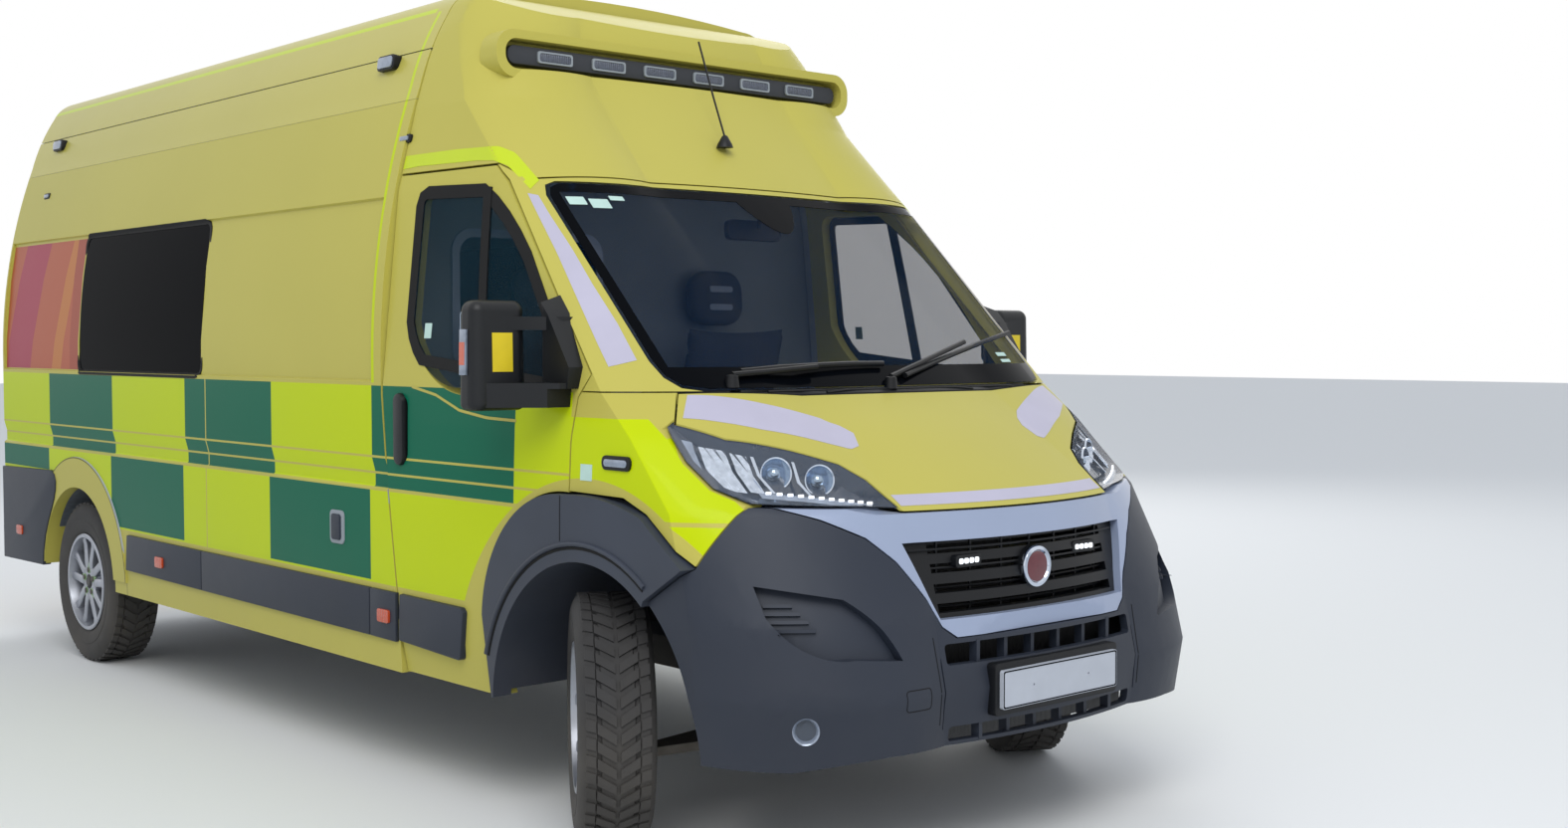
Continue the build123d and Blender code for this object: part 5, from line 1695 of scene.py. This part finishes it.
@dataclass
class Face:
    """Grille, badge disc, plate, wipers and the dark border of the windscreen."""

    bar_rows: tuple[float, ...] = (0.742, 0.796, 0.852, 0.906)

    def grille(self) -> None:
        """Builds the fine bars and ribs of the grille and its two lamps."""
        mesh = bmesh.new()
        skin = Surface("grille", "grille_surround")
        for z in self.bar_rows:
            half = 0.395 + (z - 0.708) * 0.33
            path = []
            for k in range(17):
                y = -half + 2 * half * k / 16
                path.append(Vector((2.905 - 0.30 * y * y, y, z)))
            tube(mesh, path, 0.0035, 6)
        for k in range(7):
            y = -0.36 + 0.12 * k
            x = 2.895 - 0.30 * y * y
            box_at(mesh, (x - 0.004, y - 0.003, 0.716), (x + 0.003, y + 0.003, 0.930))
        fit("grille_fine_bars", mesh, BLACK_PLASTIC)
        mesh = bmesh.new()
        lens = bmesh.new()
        for y in (-0.262, 0.262):
            spot = skin.at((y, 0.872), View.FRONT) or Vector((2.89, y, 0.872))
            place = facing((max(spot.x, 2.88), y, 0.868), (1.0, 0.0, 0.0))
            slab(mesh, place, rounded(0.108, 0.036, 0.010), -0.020, 0.010)
            for k in range(4):
                slab(lens, place, shifted(rounded(0.017, 0.016, 0.004, 2), -0.033 + 0.022 * k, 0),
                     0.006, 0.013)
        fit("grille_lamp_bases", mesh, BLACK_PLASTIC, bevel=0.002)
        fit("grille_lamp_lenses", lens, WHITE_LED, "body", bevel=0.002)
        mesh = bmesh.new()
        place = facing((2.925, 0.0, 0.832), (1.0, 0.0, 0.0))
        revolved(mesh, [(0.001, 0.004), (0.046, 0.004), (0.050, 0.009), (0.060, 0.008),
                        (0.063, 0.002), (0.062, -0.006), (0.001, -0.006)], place, 64)
        fit("badge_ring", mesh, CHROME, "body")
        mesh = bmesh.new()
        revolved(mesh, [(0.001, 0.0075), (0.030, 0.0072), (0.045, 0.0055), (0.045, 0.0035),
                        (0.001, 0.0035)], place, 48)
        fit("badge_disc", mesh, BADGE_ENAMEL, "body")

    def plate(self) -> None:
        """Builds the dark plinth behind the blank plate and the plate's rim."""
        mesh = bmesh.new()
        place = facing((3.006, 0.0, 0.511), (1.0, 0.0, 0.0))
        slab(mesh, place, rounded(0.556, 0.150, 0.014), -0.030, 0.006)
        fit("plate_plinth", mesh, BLACK_PLASTIC, bevel=0.003)
        mesh = bmesh.new()
        place = facing((3.0252, 0.0, 0.511), (1.0, 0.0, 0.0))
        outer, inner = rounded(0.516, 0.107, 0.006), rounded(0.508, 0.099, 0.006)
        framed(mesh, place, [(outer, 0.0), (outer, 0.0004), (inner, 0.0004), (inner, 0.0)])
        fit("plate_line", mesh, BLACK_BORDER, "body")

    def openings(self) -> None:
        """Builds what shows in the bumper: cooler, louvres, seams and the tow-eye cover."""
        mesh = bmesh.new()
        box_at(mesh, (2.830, -0.570, 0.560), (2.840, 0.570, 0.700))
        box_at(mesh, (2.830, -0.520, 0.338), (2.840, 0.520, 0.436))
        fit("cooler", mesh, COOLER_FINS, bevel=0.001)
        skin = Surface("front_bumper")
        for side in Side:
            s = side.value
            for k in range(4):
                z = 0.770 - 0.021 * k
                ends = ((0.872 + 0.002 * k) * s, (0.815 - 0.012 * k) * s)
                laid(f"bumper_louvre_{k}_{side.word}", skin,
                     ([(y, z) for y in ends], [(y, z + 0.009) for y in ends]), View.FRONT,
                     BUMPER_PLASTIC, "body", "grey_plastic", count=8, lift=0.010, depth=0.012)
            laid(f"bumper_seam_{side.word}", skin,
                 ([(0.448 * s, 0.430), (0.448 * s, 0.560), (0.452 * s, 0.672)],
                  [(0.451 * s, 0.430), (0.451 * s, 0.560), (0.455 * s, 0.672)]), View.FRONT,
                 RUBBER_SEAL, "body", "grey_plastic", count=24, lift=0.0006, across=1)
        mesh = bmesh.new()
        outline = shifted(rounded(0.094, 0.060, 0.010), -0.540, 0.514)
        outline = along(outline + outline[:1], 61)[:-1]
        skin.band(mesh, (outline, grown(outline, -0.0025)), View.FRONT, lift=0.0006, across=1,
                  closed=True)
        fit("tow_eye_cover_gap", mesh, RUBBER_SEAL, "body")
        skin = Surface("cowl")
        mesh = bmesh.new()
        for k in range(5):
            x = 2.375 - 0.022 * k
            path = skin.line(along([(x, -0.640), (x, 0.640)], 30), View.TOP, lift=0.002)
            if len(path) > 4:
                tube(mesh, path, 0.0045, 6)
        fit("cowl_slats", mesh, MIRROR_PLASTIC)

    def fog_lamps(self) -> None:
        """Builds the round lamps low in the bumper's corners."""
        glass = bmesh.new()
        bowl = bmesh.new()
        for s in (-1, 1):
            place = facing((2.828, s * 0.835, 0.451), (0.75, s * 0.66, 0.0))
            revolved(bowl, [(0.001, -0.012), (0.026, -0.008), (0.034, 0.006), (0.038, 0.008),
                            (0.038, -0.014), (0.001, -0.018)], place, 40)
            revolved(glass, [(0.001, 0.010), (0.020, 0.0095), (0.034, 0.006), (0.034, 0.004),
                             (0.020, 0.0075), (0.001, 0.008)], place, 40)
        fit("fog_lamp_bowls", bowl, SATIN_GUIDE, "body")
        fit("fog_lamp_lenses", glass, CLEAR_LENS, "body")

    def bonnet_lip(self) -> None:
        """Lays the white film along the bonnet's front edge."""
        laid("bonnet_lip_film", Surface("bonnet"),
             ([(-0.452, 1.030), (0.452, 1.030)], [(-0.452, 1.058), (0.452, 1.058)]),
             View.FRONT, WHITE_FILM, "bonnet", "body_paint", count=25)

    def screen(self) -> None:
        """Builds the windscreen's dark border, sensor housing and labels."""
        skin = Surface("windscreen")
        corner = [(0.737, 1.357), (0.798, 1.367), (0.825, 1.394), (0.835, 1.438), (0.835, 1.600),
                  (0.834, 1.800), (0.833, 1.953), (0.821, 1.982), (0.794, 1.995)]
        edge = ([(-y, z) for y, z in corner] + along([(-0.790, 1.996), (0.790, 1.996)], 24)
                + list(reversed(corner)) + along([(0.730, 1.356), (-0.730, 1.356)], 24))
        inset = [(max(-0.806, min(0.806, y)), max(1.418, min(1.968, z))) for y, z in edge]
        mesh = bmesh.new()
        skin.band(mesh, (edge, inset), View.FRONT, lift=0.0012, across=4, closed=True)
        fit("windscreen_border", mesh, BLACK_BORDER)
        mesh = bmesh.new()
        low = bent((-0.120, 1.962), (0.0, 1.860), (0.120, 1.962), 16)
        high = along([(-0.120, 1.972), (0.120, 1.972)], 16)
        skin.band(mesh, (low, high), View.FRONT, lift=0.0014, across=6)
        fit("screen_sensor_shade", mesh, BLACK_BORDER)
        for k, (y, z, w, h) in enumerate(((-0.772, 1.938, 0.050, 0.026),
                                          (-0.706, 1.930, 0.060, 0.030),
                                          (-0.640, 1.950, 0.050, 0.014),
                                          (0.640, 1.450, 0.060, 0.012),
                                          (0.640, 1.428, 0.060, 0.010))):
            laid(f"screen_label_{k}", skin, label(y, z, w, h), View.FRONT, PALE_LABEL,
                 "body", "plate", count=5, lift=0.0016)

    def wipers(self) -> None:
        """Builds the two wipers that park across the foot of the screen."""
        skin = Surface("windscreen", "cowl", "cab_frame", "bonnet")
        mesh = bmesh.new()
        for pivot, knee, ends in (
                ((2.310, -0.653), (2.316, -0.33), ((2.292, -0.613), (2.311, -0.035))),
                ((2.372, -0.050), (2.222, 0.44), ((2.352, 0.024), (2.085, 0.830)))):
            base = skin.at(pivot, View.TOP)
            if base is None:
                continue
            place = Matrix.Translation(base)
            revolved(mesh, [(0.001, 0.030), (0.018, 0.026), (0.022, -0.010), (0.001, -0.010)],
                     place, 20)
            hits = [skin.at(e, View.TOP, lift=0.016) for e in (*ends, knee)]
            if None in hits:
                continue
            start, end, joint = hits
            middle = (start + end) / 2 + Vector((0.004, 0.0, 0.006))
            tube(mesh, [start, (start * 3 + end) / 4 + Vector((0.003, 0.0, 0.005)), middle,
                        (start + end * 3) / 4 + Vector((0.003, 0.0, 0.005)), end], 0.009, 8)
            joint += Vector((0.006, 0.0, 0.016))
            tube(mesh, [base + Vector((0.0, 0.0, 0.028)),
                        base * 0.6 + joint * 0.4 + Vector((0.0, 0.0, 0.016)), joint], 0.009, 8)
        fit("wipers", mesh, BLACK_PLASTIC)

    def build(self) -> None:
        """Builds every part of the vehicle's face."""
        self.grille()
        self.plate()
        self.openings()
        self.fog_lamps()
        self.bonnet_lip()
        self.screen()
        self.wipers()


def cushion(mesh: Mesh, place: Matrix, size: Point, crown: float = 0.25,
            pinch: float = 0.05, grooves: tuple[float, ...] = (), steps: int = 28) -> None:
    """Adds a crowned closed pad with pulled-in sides and sewn channels.

    Args:
        mesh: The bmesh.
        place: The pad's middle; its thickness runs along local Z.
        size: Width, length and thickness.
        crown: Share of the thickness by which the middle stands proud.
        pinch: Share by which the sides pull in between the corners.
        grooves: Local X of each sewn channel, as a share of half the width.
        steps: Faces along each side.
    """
    grid: dict[tuple[int, int, int], bmesh.types.BMVert] = {}

    def vert(i: int, j: int, top: int) -> bmesh.types.BMVert:
        """Returns the corner at a place of the grid, made once and then reused."""
        u, v = 2 * i / steps - 1, 2 * j / steps - 1
        x = u * (1 - pinch * (1 - v * v)) * size[0] / 2
        y = v * (1 - pinch * (1 - u * u)) * size[1] / 2
        edge = max(abs(u), abs(v))
        fall = math.sqrt(max(0.0, 1 - edge ** 6))
        high = size[2] / 2 * fall * (1 - crown + crown * (1 - u * u) * (1 - v * v))
        for groove in grooves:
            high -= 0.18 * size[2] * math.exp(-((abs(u) - groove) / 0.035) ** 2) * (top > 0)
        if edge >= 1.0 - 1e-9:
            top = 0
            high = 0.0
        key = (i, j, top)
        if key not in grid:
            grid[key] = mesh.verts.new(place @ Vector((x, y, top * high)))
        return grid[key]

    for top in (1, -1):
        for i in range(steps):
            for j in range(steps):
                corners = [vert(i, j, top), vert(i + 1, j, top), vert(i + 1, j + 1, top),
                           vert(i, j + 1, top)]
                mesh.faces.new(corners if top > 0 else list(reversed(corners)))


@dataclass
class Cab:
    """Seats, steering wheel and the fittings of the dash."""

    seat_y: float = 0.400

    def seat(self, name: str, y: float) -> None:
        """Builds a padded seat that stands for its plain CAD solid.

        Args:
            name: The CAD node's name.
            y: The seat's middle line.
        """
        pads = (
            ("cushion", Matrix.Translation((1.275, y, 0.905)) @ Matrix.Rotation(
                math.radians(-3), 4, "Y"), (0.500, 0.480, 0.150), (0.62,)),
            ("back", Matrix.Translation((1.030, y, 1.250)) @ Matrix.Rotation(
                math.radians(-78), 4, "Y"), (0.600, 0.470, 0.130), (0.70,)),
        )
        first = None
        for label, place, size, grooves in pads:
            mesh = bmesh.new()
            cushion(mesh, place, size, grooves=grooves)
            piece = finish_mesh(f"{name}_{label}", mesh, SEAT_CLOTH, 60)
            attach(piece, "body")
            first = first or piece
        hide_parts(name)
        mesh = bmesh.new()
        place = facing((0.955, y, 1.665), (1.0, 0.0, 0.08))
        outline = rounded(0.255, 0.215, 0.080, 8)
        rings = []
        for depth, size in ((-0.036, 0.80), (-0.028, 0.95), (0.0, 1.0), (0.024, 0.96),
                            (0.038, 0.82)):
            rings.append([place @ Vector((a * size, b * size, depth)) for a, b in outline])
        skin_rings(mesh, rings, True, True)
        head = finish_mesh(f"{name}_head_restraint", mesh, SEAT_CLOTH, 60)
        attach(head, "body")
        mesh = bmesh.new()
        for z in (1.630, 1.700):
            slot = facing((0.996, y, z), (1.0, 0.0, 0.08))
            slab(mesh, slot, rounded(0.115, 0.024, 0.010), -0.002, 0.004)
        fit(f"{name}_restraint_slots", mesh, SILVER_TRIM, bevel=0.001)
        mesh = bmesh.new()
        prism(mesh, [Vector((x, y - 0.215, z)) for x, z in
                     ((1.085, 0.602), (1.430, 0.602), (1.470, 0.815), (1.060, 0.815))],
              Vector((0.0, 0.430, 0.0)))
        fit(f"{name}_base", mesh, BLACK_PLASTIC, bevel=0.012)

    def steering(self) -> None:
        """Builds the steering wheel, which stands for the CAD one."""
        place = facing((1.561, -0.400, 1.187), (-0.819, 0.0, 0.574), (0.574, 0.0, 0.819))
        mesh = bmesh.new()
        revolved(mesh, shifted(circle(0.0135, 12), 0.176, 0.0), place, 64)
        for turn in (8, 172, 270):
            a = math.radians(turn)
            way = Vector((math.cos(a), math.sin(a), 0.0))
            side = Vector((-way.y, way.x, 0.0))
            rings = []
            for r, half, z in ((0.045, 0.030, -0.010), (0.110, 0.022, -0.008),
                               (0.176, 0.018, 0.0)):
                rings.append([place @ (way * r + side * a1 + Vector((0, 0, z + b1)))
                              for a1, b1 in ((-half, -0.006), (half, -0.006),
                                             (half, 0.006), (-half, 0.006))])
            skin_rings(mesh, rings, True, True)
        slab(mesh, place, rounded(0.150, 0.130, 0.040, 6), -0.030, 0.012)
        wheel = finish_mesh("steering_wheel_rim", mesh, BLACK_PLASTIC, bevel=0.002)
        attach(wheel, "steering_wheel")
        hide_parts("steering_wheel")
        mesh = bmesh.new()
        revolved(mesh, [(0.001, -0.160), (0.026, -0.160), (0.030, -0.030), (0.001, -0.030)],
                 place, 24)
        fit("steering_column", mesh, BLACK_PLASTIC, "steering_wheel")

    def fittings(self) -> None:
        """Builds the binnacle, screens, window frame and mirror of the cab."""
        mesh = bmesh.new()
        prism(mesh, [Vector((x, -0.560, z)) for x, z in
                     ((1.700, 1.180), (1.690, 1.300), (1.760, 1.318), (1.930, 1.262),
                      (1.930, 1.220))], Vector((0.0, 0.330, 0.0)))
        prism(mesh, [Vector((x, -0.130, z)) for x, z in
                     ((1.672, 0.960), (1.690, 1.300), (1.740, 1.310), (1.900, 1.250),
                      (1.760, 0.960))], Vector((0.0, 0.260, 0.0)))
        fit("dash_binnacle", mesh, TRIM_GREY, bevel=0.012)
        mesh = bmesh.new()
        place = facing((1.684, 0.0, 1.215), (-1.0, 0.0, 0.16))
        slab(mesh, place, rounded(0.190, 0.120, 0.008), -0.004, 0.004)
        fit("dash_screen", mesh, BLACK_BORDER, bevel=0.001)
        mesh = bmesh.new()
        place = facing((0.890, -0.420, 1.640), (1.0, 0.0, 0.0), (0.0, 0.0, 1.0))
        inner, outer = rounded(0.590, 0.450, 0.060, 8), rounded(0.650, 0.510, 0.080, 8)
        framed(mesh, place, [(inner, 0.0), (inner, 0.008), (outer, 0.008), (outer, 0.0)])
        fit("bulkhead_window_frame", mesh, SILVER_TRIM)
        mesh = bmesh.new()
        slab(mesh, facing((1.660, 0.0, 1.880), (-1.0, 0.0, -0.1)),
             rounded(0.240, 0.070, 0.020), 0.0, 0.025)
        tube(mesh, [Vector((1.680, 0.0, 1.885)), Vector((1.685, 0.0, 1.930)),
                    Vector((1.700, 0.0, 1.965))], 0.008, 8)
        fit("cab_mirror", mesh, BLACK_PLASTIC, bevel=0.004)

    def build(self) -> None:
        """Builds the cab's inside."""
        self.seat("seat_driver", -self.seat_y)
        self.seat("seat_passenger", self.seat_y)
        self.steering()
        self.fittings()


@dataclass
class Mirrors:
    """Glass, indicator and yellow patch of each door mirror."""

    side: Side

    def build(self) -> None:
        """Builds the mirror's details on the CAD housing."""
        s = self.side.value
        word = self.side.word
        body = f"door_{word}"
        mesh = bmesh.new()
        upper = facing((1.7525, s * 1.156, 1.505), (-1.0, 0.0, 0.0))
        lower = facing((1.7525, s * 1.156, 1.352), (-1.0, 0.0, 0.0))
        slab(mesh, upper, rounded(0.156, 0.176, 0.022), -0.002, 0.002)
        slab(mesh, lower, rounded(0.156, 0.088, 0.022), -0.002, 0.002)
        fit(f"mirror_glass_{word}", mesh, MIRROR_GLASS, body, bevel=0.001)
        skin = Surface(f"mirror_{word}")
        laid(f"mirror_indicator_{word}", skin, ([(1.788, 1.395), (1.818, 1.395)],
                                                [(1.788, 1.530), (1.818, 1.530)]), View.SIDE,
             SATIN_GUIDE, body, "lamp_lens", self.side, 6, 0.002, lift=0.010, across=8,
             depth=0.012)
        laid(f"mirror_amber_{word}", skin, ([(1.790, 1.425), (1.816, 1.425)],
                                            [(1.790, 1.492), (1.816, 1.492)]), View.SIDE,
             AMBER_LENS, body, "red_lens", self.side, 6, lift=0.0112, across=6, depth=0.010)
        laid(f"mirror_patch_{word}", skin, ([(s * 1.188, 1.405), (s * 1.118, 1.405)],
                                            [(s * 1.188, 1.520), (s * 1.118, 1.520)]),
             View.FRONT, YELLOW_FILM, body, "plate", count=6, lift=0.0014, across=6)


@dataclass
class Roof:
    """Light bar, corner lamps and aerials."""

    modules: int = 6
    pitch: float = 0.225

    def light_bar(self) -> None:
        """Builds the row of lamp modules, which stands for the CAD bar."""
        mesh = bmesh.new()
        place = facing((1.262, 0.0, 2.455), (1.0, 0.0, 0.0))
        slab(mesh, place, rounded(1.500, 0.062, 0.028, 8), -0.048, 0.006)
        base = fit("light_bar_base", mesh, TRIM_GREY, bevel=0.004)
        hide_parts("light_bar")
        mesh = bmesh.new()
        first = -(self.modules - 1) / 2 * self.pitch
        one = facing((1.262, first, 2.455), (1.0, 0.0, 0.0))
        slab(mesh, one, rounded(0.126, 0.026, 0.006, 3), 0.004, 0.012)
        piece = finish_mesh("light_bar_modules", mesh, BLUE_LENS, bevel=0.002)
        repeated(piece, self.modules, step=(0.0, self.pitch, 0.0))
        attach(piece, "body")
        mesh = bmesh.new()
        outer, inner = rounded(0.142, 0.040, 0.008, 3), rounded(0.128, 0.028, 0.008, 3)
        framed(mesh, one, [(outer, 0.004), (outer, 0.013), (inner, 0.013), (inner, 0.004)])
        piece = finish_mesh("light_bar_frames", mesh, CRATE_GREY)
        repeated(piece, self.modules, step=(0.0, self.pitch, 0.0))
        attach(piece, "body")

    def corner_lamps(self) -> None:
        """Builds the small lamps high on the sides."""
        lens = bmesh.new()
        base = bmesh.new()
        for s in (-1, 1):
            for x, z, w, h in ((0.640, 2.485, 0.120, 0.054), (-2.650, 2.470, 0.120, 0.054),
                               (0.883, 2.190, 0.075, 0.030), (-2.628, 2.213, 0.075, 0.030)):
                y = 0.842 if z > 2.4 else 0.906
                place = facing((x, s * y, z), (0.0, s, 0.12))
                slab(base, place, rounded(w, h, h * 0.3), -0.020, 0.014)
                slab(lens, place, rounded(w - 0.022, h - 0.014, h * 0.2), 0.010, 0.020)
        fit("corner_lamp_bases", base, BLACK_PLASTIC, bevel=0.003)
        fit("corner_lamp_lenses", lens, SATIN_GUIDE, "body", bevel=0.003)

    def aerials(self) -> None:
        """Builds the aerials."""
        mesh = bmesh.new()
        for x, y, z in ((1.534, -0.030, 2.180), (0.760, 0.300, 2.752), (-0.300, 0.350, 2.752),
                        (-1.900, -0.250, 2.752)):
            place = Matrix.Translation((x, y, z - 0.006))
            revolved(mesh, [(0.001, 0.045), (0.010, 0.040), (0.026, 0.012), (0.030, 0.0),
                            (0.001, 0.0)], place, 24)
        tube(mesh, [Vector((1.534, -0.030, 2.21)), Vector((1.47, -0.030, 2.36)),
                    Vector((1.39, -0.030, 2.560))], 0.0035, 8)
        fit("aerials", mesh, BLACK_PLASTIC)

    def build(self) -> None:
        """Builds everything on the roof."""
        self.light_bar()
        self.corner_lamps()
        self.aerials()


@dataclass
class Tail:
    """Handles, number plate, reflectors and step at the rear."""

    def build(self) -> None:
        """Builds the rear details."""
        mesh = bmesh.new()
        place = facing((-2.992, -0.080, 1.150), (-1.0, 0.0, 0.0))
        slab(mesh, place, rounded(0.060, 0.200, 0.024), -0.004, 0.016)
        fit("rear_door_handle", mesh, BLACK_PLASTIC, "rear_door_right", bevel=0.006)
        mesh = bmesh.new()
        place = facing((-2.984, 0.440, 0.955), (-1.0, 0.0, 0.0))
        slab(mesh, place, rounded(0.530, 0.121, 0.010), 0.000, 0.004)
        fit("rear_plate", mesh, REAR_PLATE_FILM, "rear_door_left", bevel=0.001)
        mesh = bmesh.new()
        for s in (-1, 1):
            place = facing((-3.022, s * 0.800, 0.480), (-1.0, 0.0, 0.0))
            slab(mesh, place, rounded(0.130, 0.040, 0.010), 0.0, 0.005)
        fit("rear_reflectors", mesh, RED_LENS, "body", bevel=0.001)
        mesh = bmesh.new()
        for k in range(9):
            x = -3.015 + 0.009 * k
            box_at(mesh, (x, -0.600, 0.5585), (x + 0.004, 0.600, 0.5625))
        fit("rear_step_treads", mesh, BUMPER_PLASTIC, "body")


WHEELS = (
    Wheel("front_right", "wheel_front_right", (2.02291, -0.89436, TYRE_RADIUS), -32.0),
    Wheel("front_left", "wheel_front_left", (2.09709, 0.89436, TYRE_RADIUS), 148.0),
    Wheel("rear_right", "wheel_rear_right", (REAR_AXLE, -0.895, TYRE_RADIUS), 0.0),
    Wheel("rear_left", "wheel_rear_left", (REAR_AXLE, 0.895, TYRE_RADIUS), 180.0),
)


@dataclass
class Studio:
    """Pale floor, white surroundings, soft light and the photograph's camera."""

    camera_at: Point = (6.1774, -3.9198, 1.4905)
    yaw: float = 137.698
    pitch: float = -2.483
    lens: float = 39.38
    shift: Flat = (-0.0074, 0.0020)

    def floor(self) -> None:
        """Builds the floor, which isn't part of the object."""
        mesh = bmesh.new()
        corners = [mesh.verts.new((x, y, 0.0)) for x, y in
                   ((-60, -60), (60, -60), (60, 60), (-60, 60))]
        mesh.faces.new(corners)
        data = bpy.data.meshes.new("floor")
        mesh.to_mesh(data)
        mesh.free()
        plane = bpy.data.objects.new("floor", data)
        bpy.context.scene.collection.objects.link(plane)
        made = bpy.data.materials.new("pale_floor")
        made.use_nodes = True
        tree = made.node_tree
        tree.nodes["Principled BSDF"].inputs["Base Color"].default_value = linear("#EDEDEA")
        tree.nodes["Principled BSDF"].inputs["Roughness"].default_value = 0.9
        data.materials.append(made)

    def world(self) -> None:
        """Builds the even light, with white shown to camera and reflections."""
        world = bpy.data.worlds.new("studio")
        bpy.context.scene.world = world
        world.use_nodes = True
        tree = world.node_tree
        tree.nodes.clear()
        path = add_node(tree, "ShaderNodeLightPath")
        one = add_node(tree, "ShaderNodeMath", {"operation": "MAXIMUM"},
                       {0: path.outputs["Is Camera Ray"], 1: path.outputs["Is Glossy Ray"]})
        two = add_node(tree, "ShaderNodeMath", {"operation": "MAXIMUM"},
                       {0: one, 1: path.outputs["Is Transmission Ray"]})
        soft = add_node(tree, "ShaderNodeBackground", {"Color": linear("#DFE6F2"),
                                                       "Strength": 0.80})
        white = add_node(tree, "ShaderNodeBackground", {"Color": linear("#FFFFFF"),
                                                        "Strength": 1.0})
        mix = add_node(tree, "ShaderNodeMixShader", None,
                       {0: two, 1: soft, 2: white})
        out = add_node(tree, "ShaderNodeOutputWorld")
        tree.links.new(mix.outputs[0], out.inputs["Surface"])

    def lamp(self, name: str, place: Point, size: float, watts: float) -> None:
        """Adds a soft square lamp that points at the vehicle.

        Args:
            name: The lamp's name.
            place: Where it hangs.
            size: Its side.
            watts: Its power.
        """
        data = bpy.data.lights.new(name, "AREA")
        data.size = size
        data.energy = watts
        lamp = bpy.data.objects.new(name, data)
        lamp.location = place
        aim = Vector((0.3, 0.0, 1.0)) - Vector(place)
        lamp.rotation_euler = aim.to_track_quat("-Z", "Y").to_euler()
        bpy.context.scene.collection.objects.link(lamp)

    def camera(self) -> None:
        """Places the camera where the photograph was taken from."""
        data = bpy.data.cameras.new("photo_camera")
        data.lens = self.lens
        data.sensor_width = 36.0
        data.shift_x, data.shift_y = self.shift
        data.clip_end = 300.0
        camera = bpy.data.objects.new("photo_camera", data)
        camera.location = self.camera_at
        yaw, pitch = math.radians(self.yaw), math.radians(self.pitch)
        ahead = Vector((math.cos(yaw) * math.cos(pitch), math.sin(yaw) * math.cos(pitch),
                        math.sin(pitch)))
        camera.rotation_euler = ahead.to_track_quat("-Z", "Y").to_euler()
        bpy.context.scene.collection.objects.link(camera)
        bpy.context.scene.camera = camera

    def build(self) -> None:
        """Builds floor, lights and camera."""
        self.floor()
        self.world()
        self.lamp("key", (7.0, -5.0, 8.0), 6.0, 520.0)
        self.lamp("fill", (-6.0, 7.0, 7.0), 7.0, 300.0)
        self.camera()
        bpy.context.scene.view_settings.view_transform = "Standard"


def main() -> None:
    """Builds the vehicle piece by piece, and then the studio."""
    logging.basicConfig(level=logging.INFO, format="%(message)s")
    Bodywork().dress()
    parts = [Bodywork(), Face(), Roof(), Tail(), Cab()]
    parts += [maker(side) for side in Side for maker in (Headlamp, Mirrors)]
    parts += list(WHEELS)
    for part in parts:
        part.build()
        LOG.info("built %s", type(part).__name__)
    Studio().build()


if __name__ == "__main__":
    main()
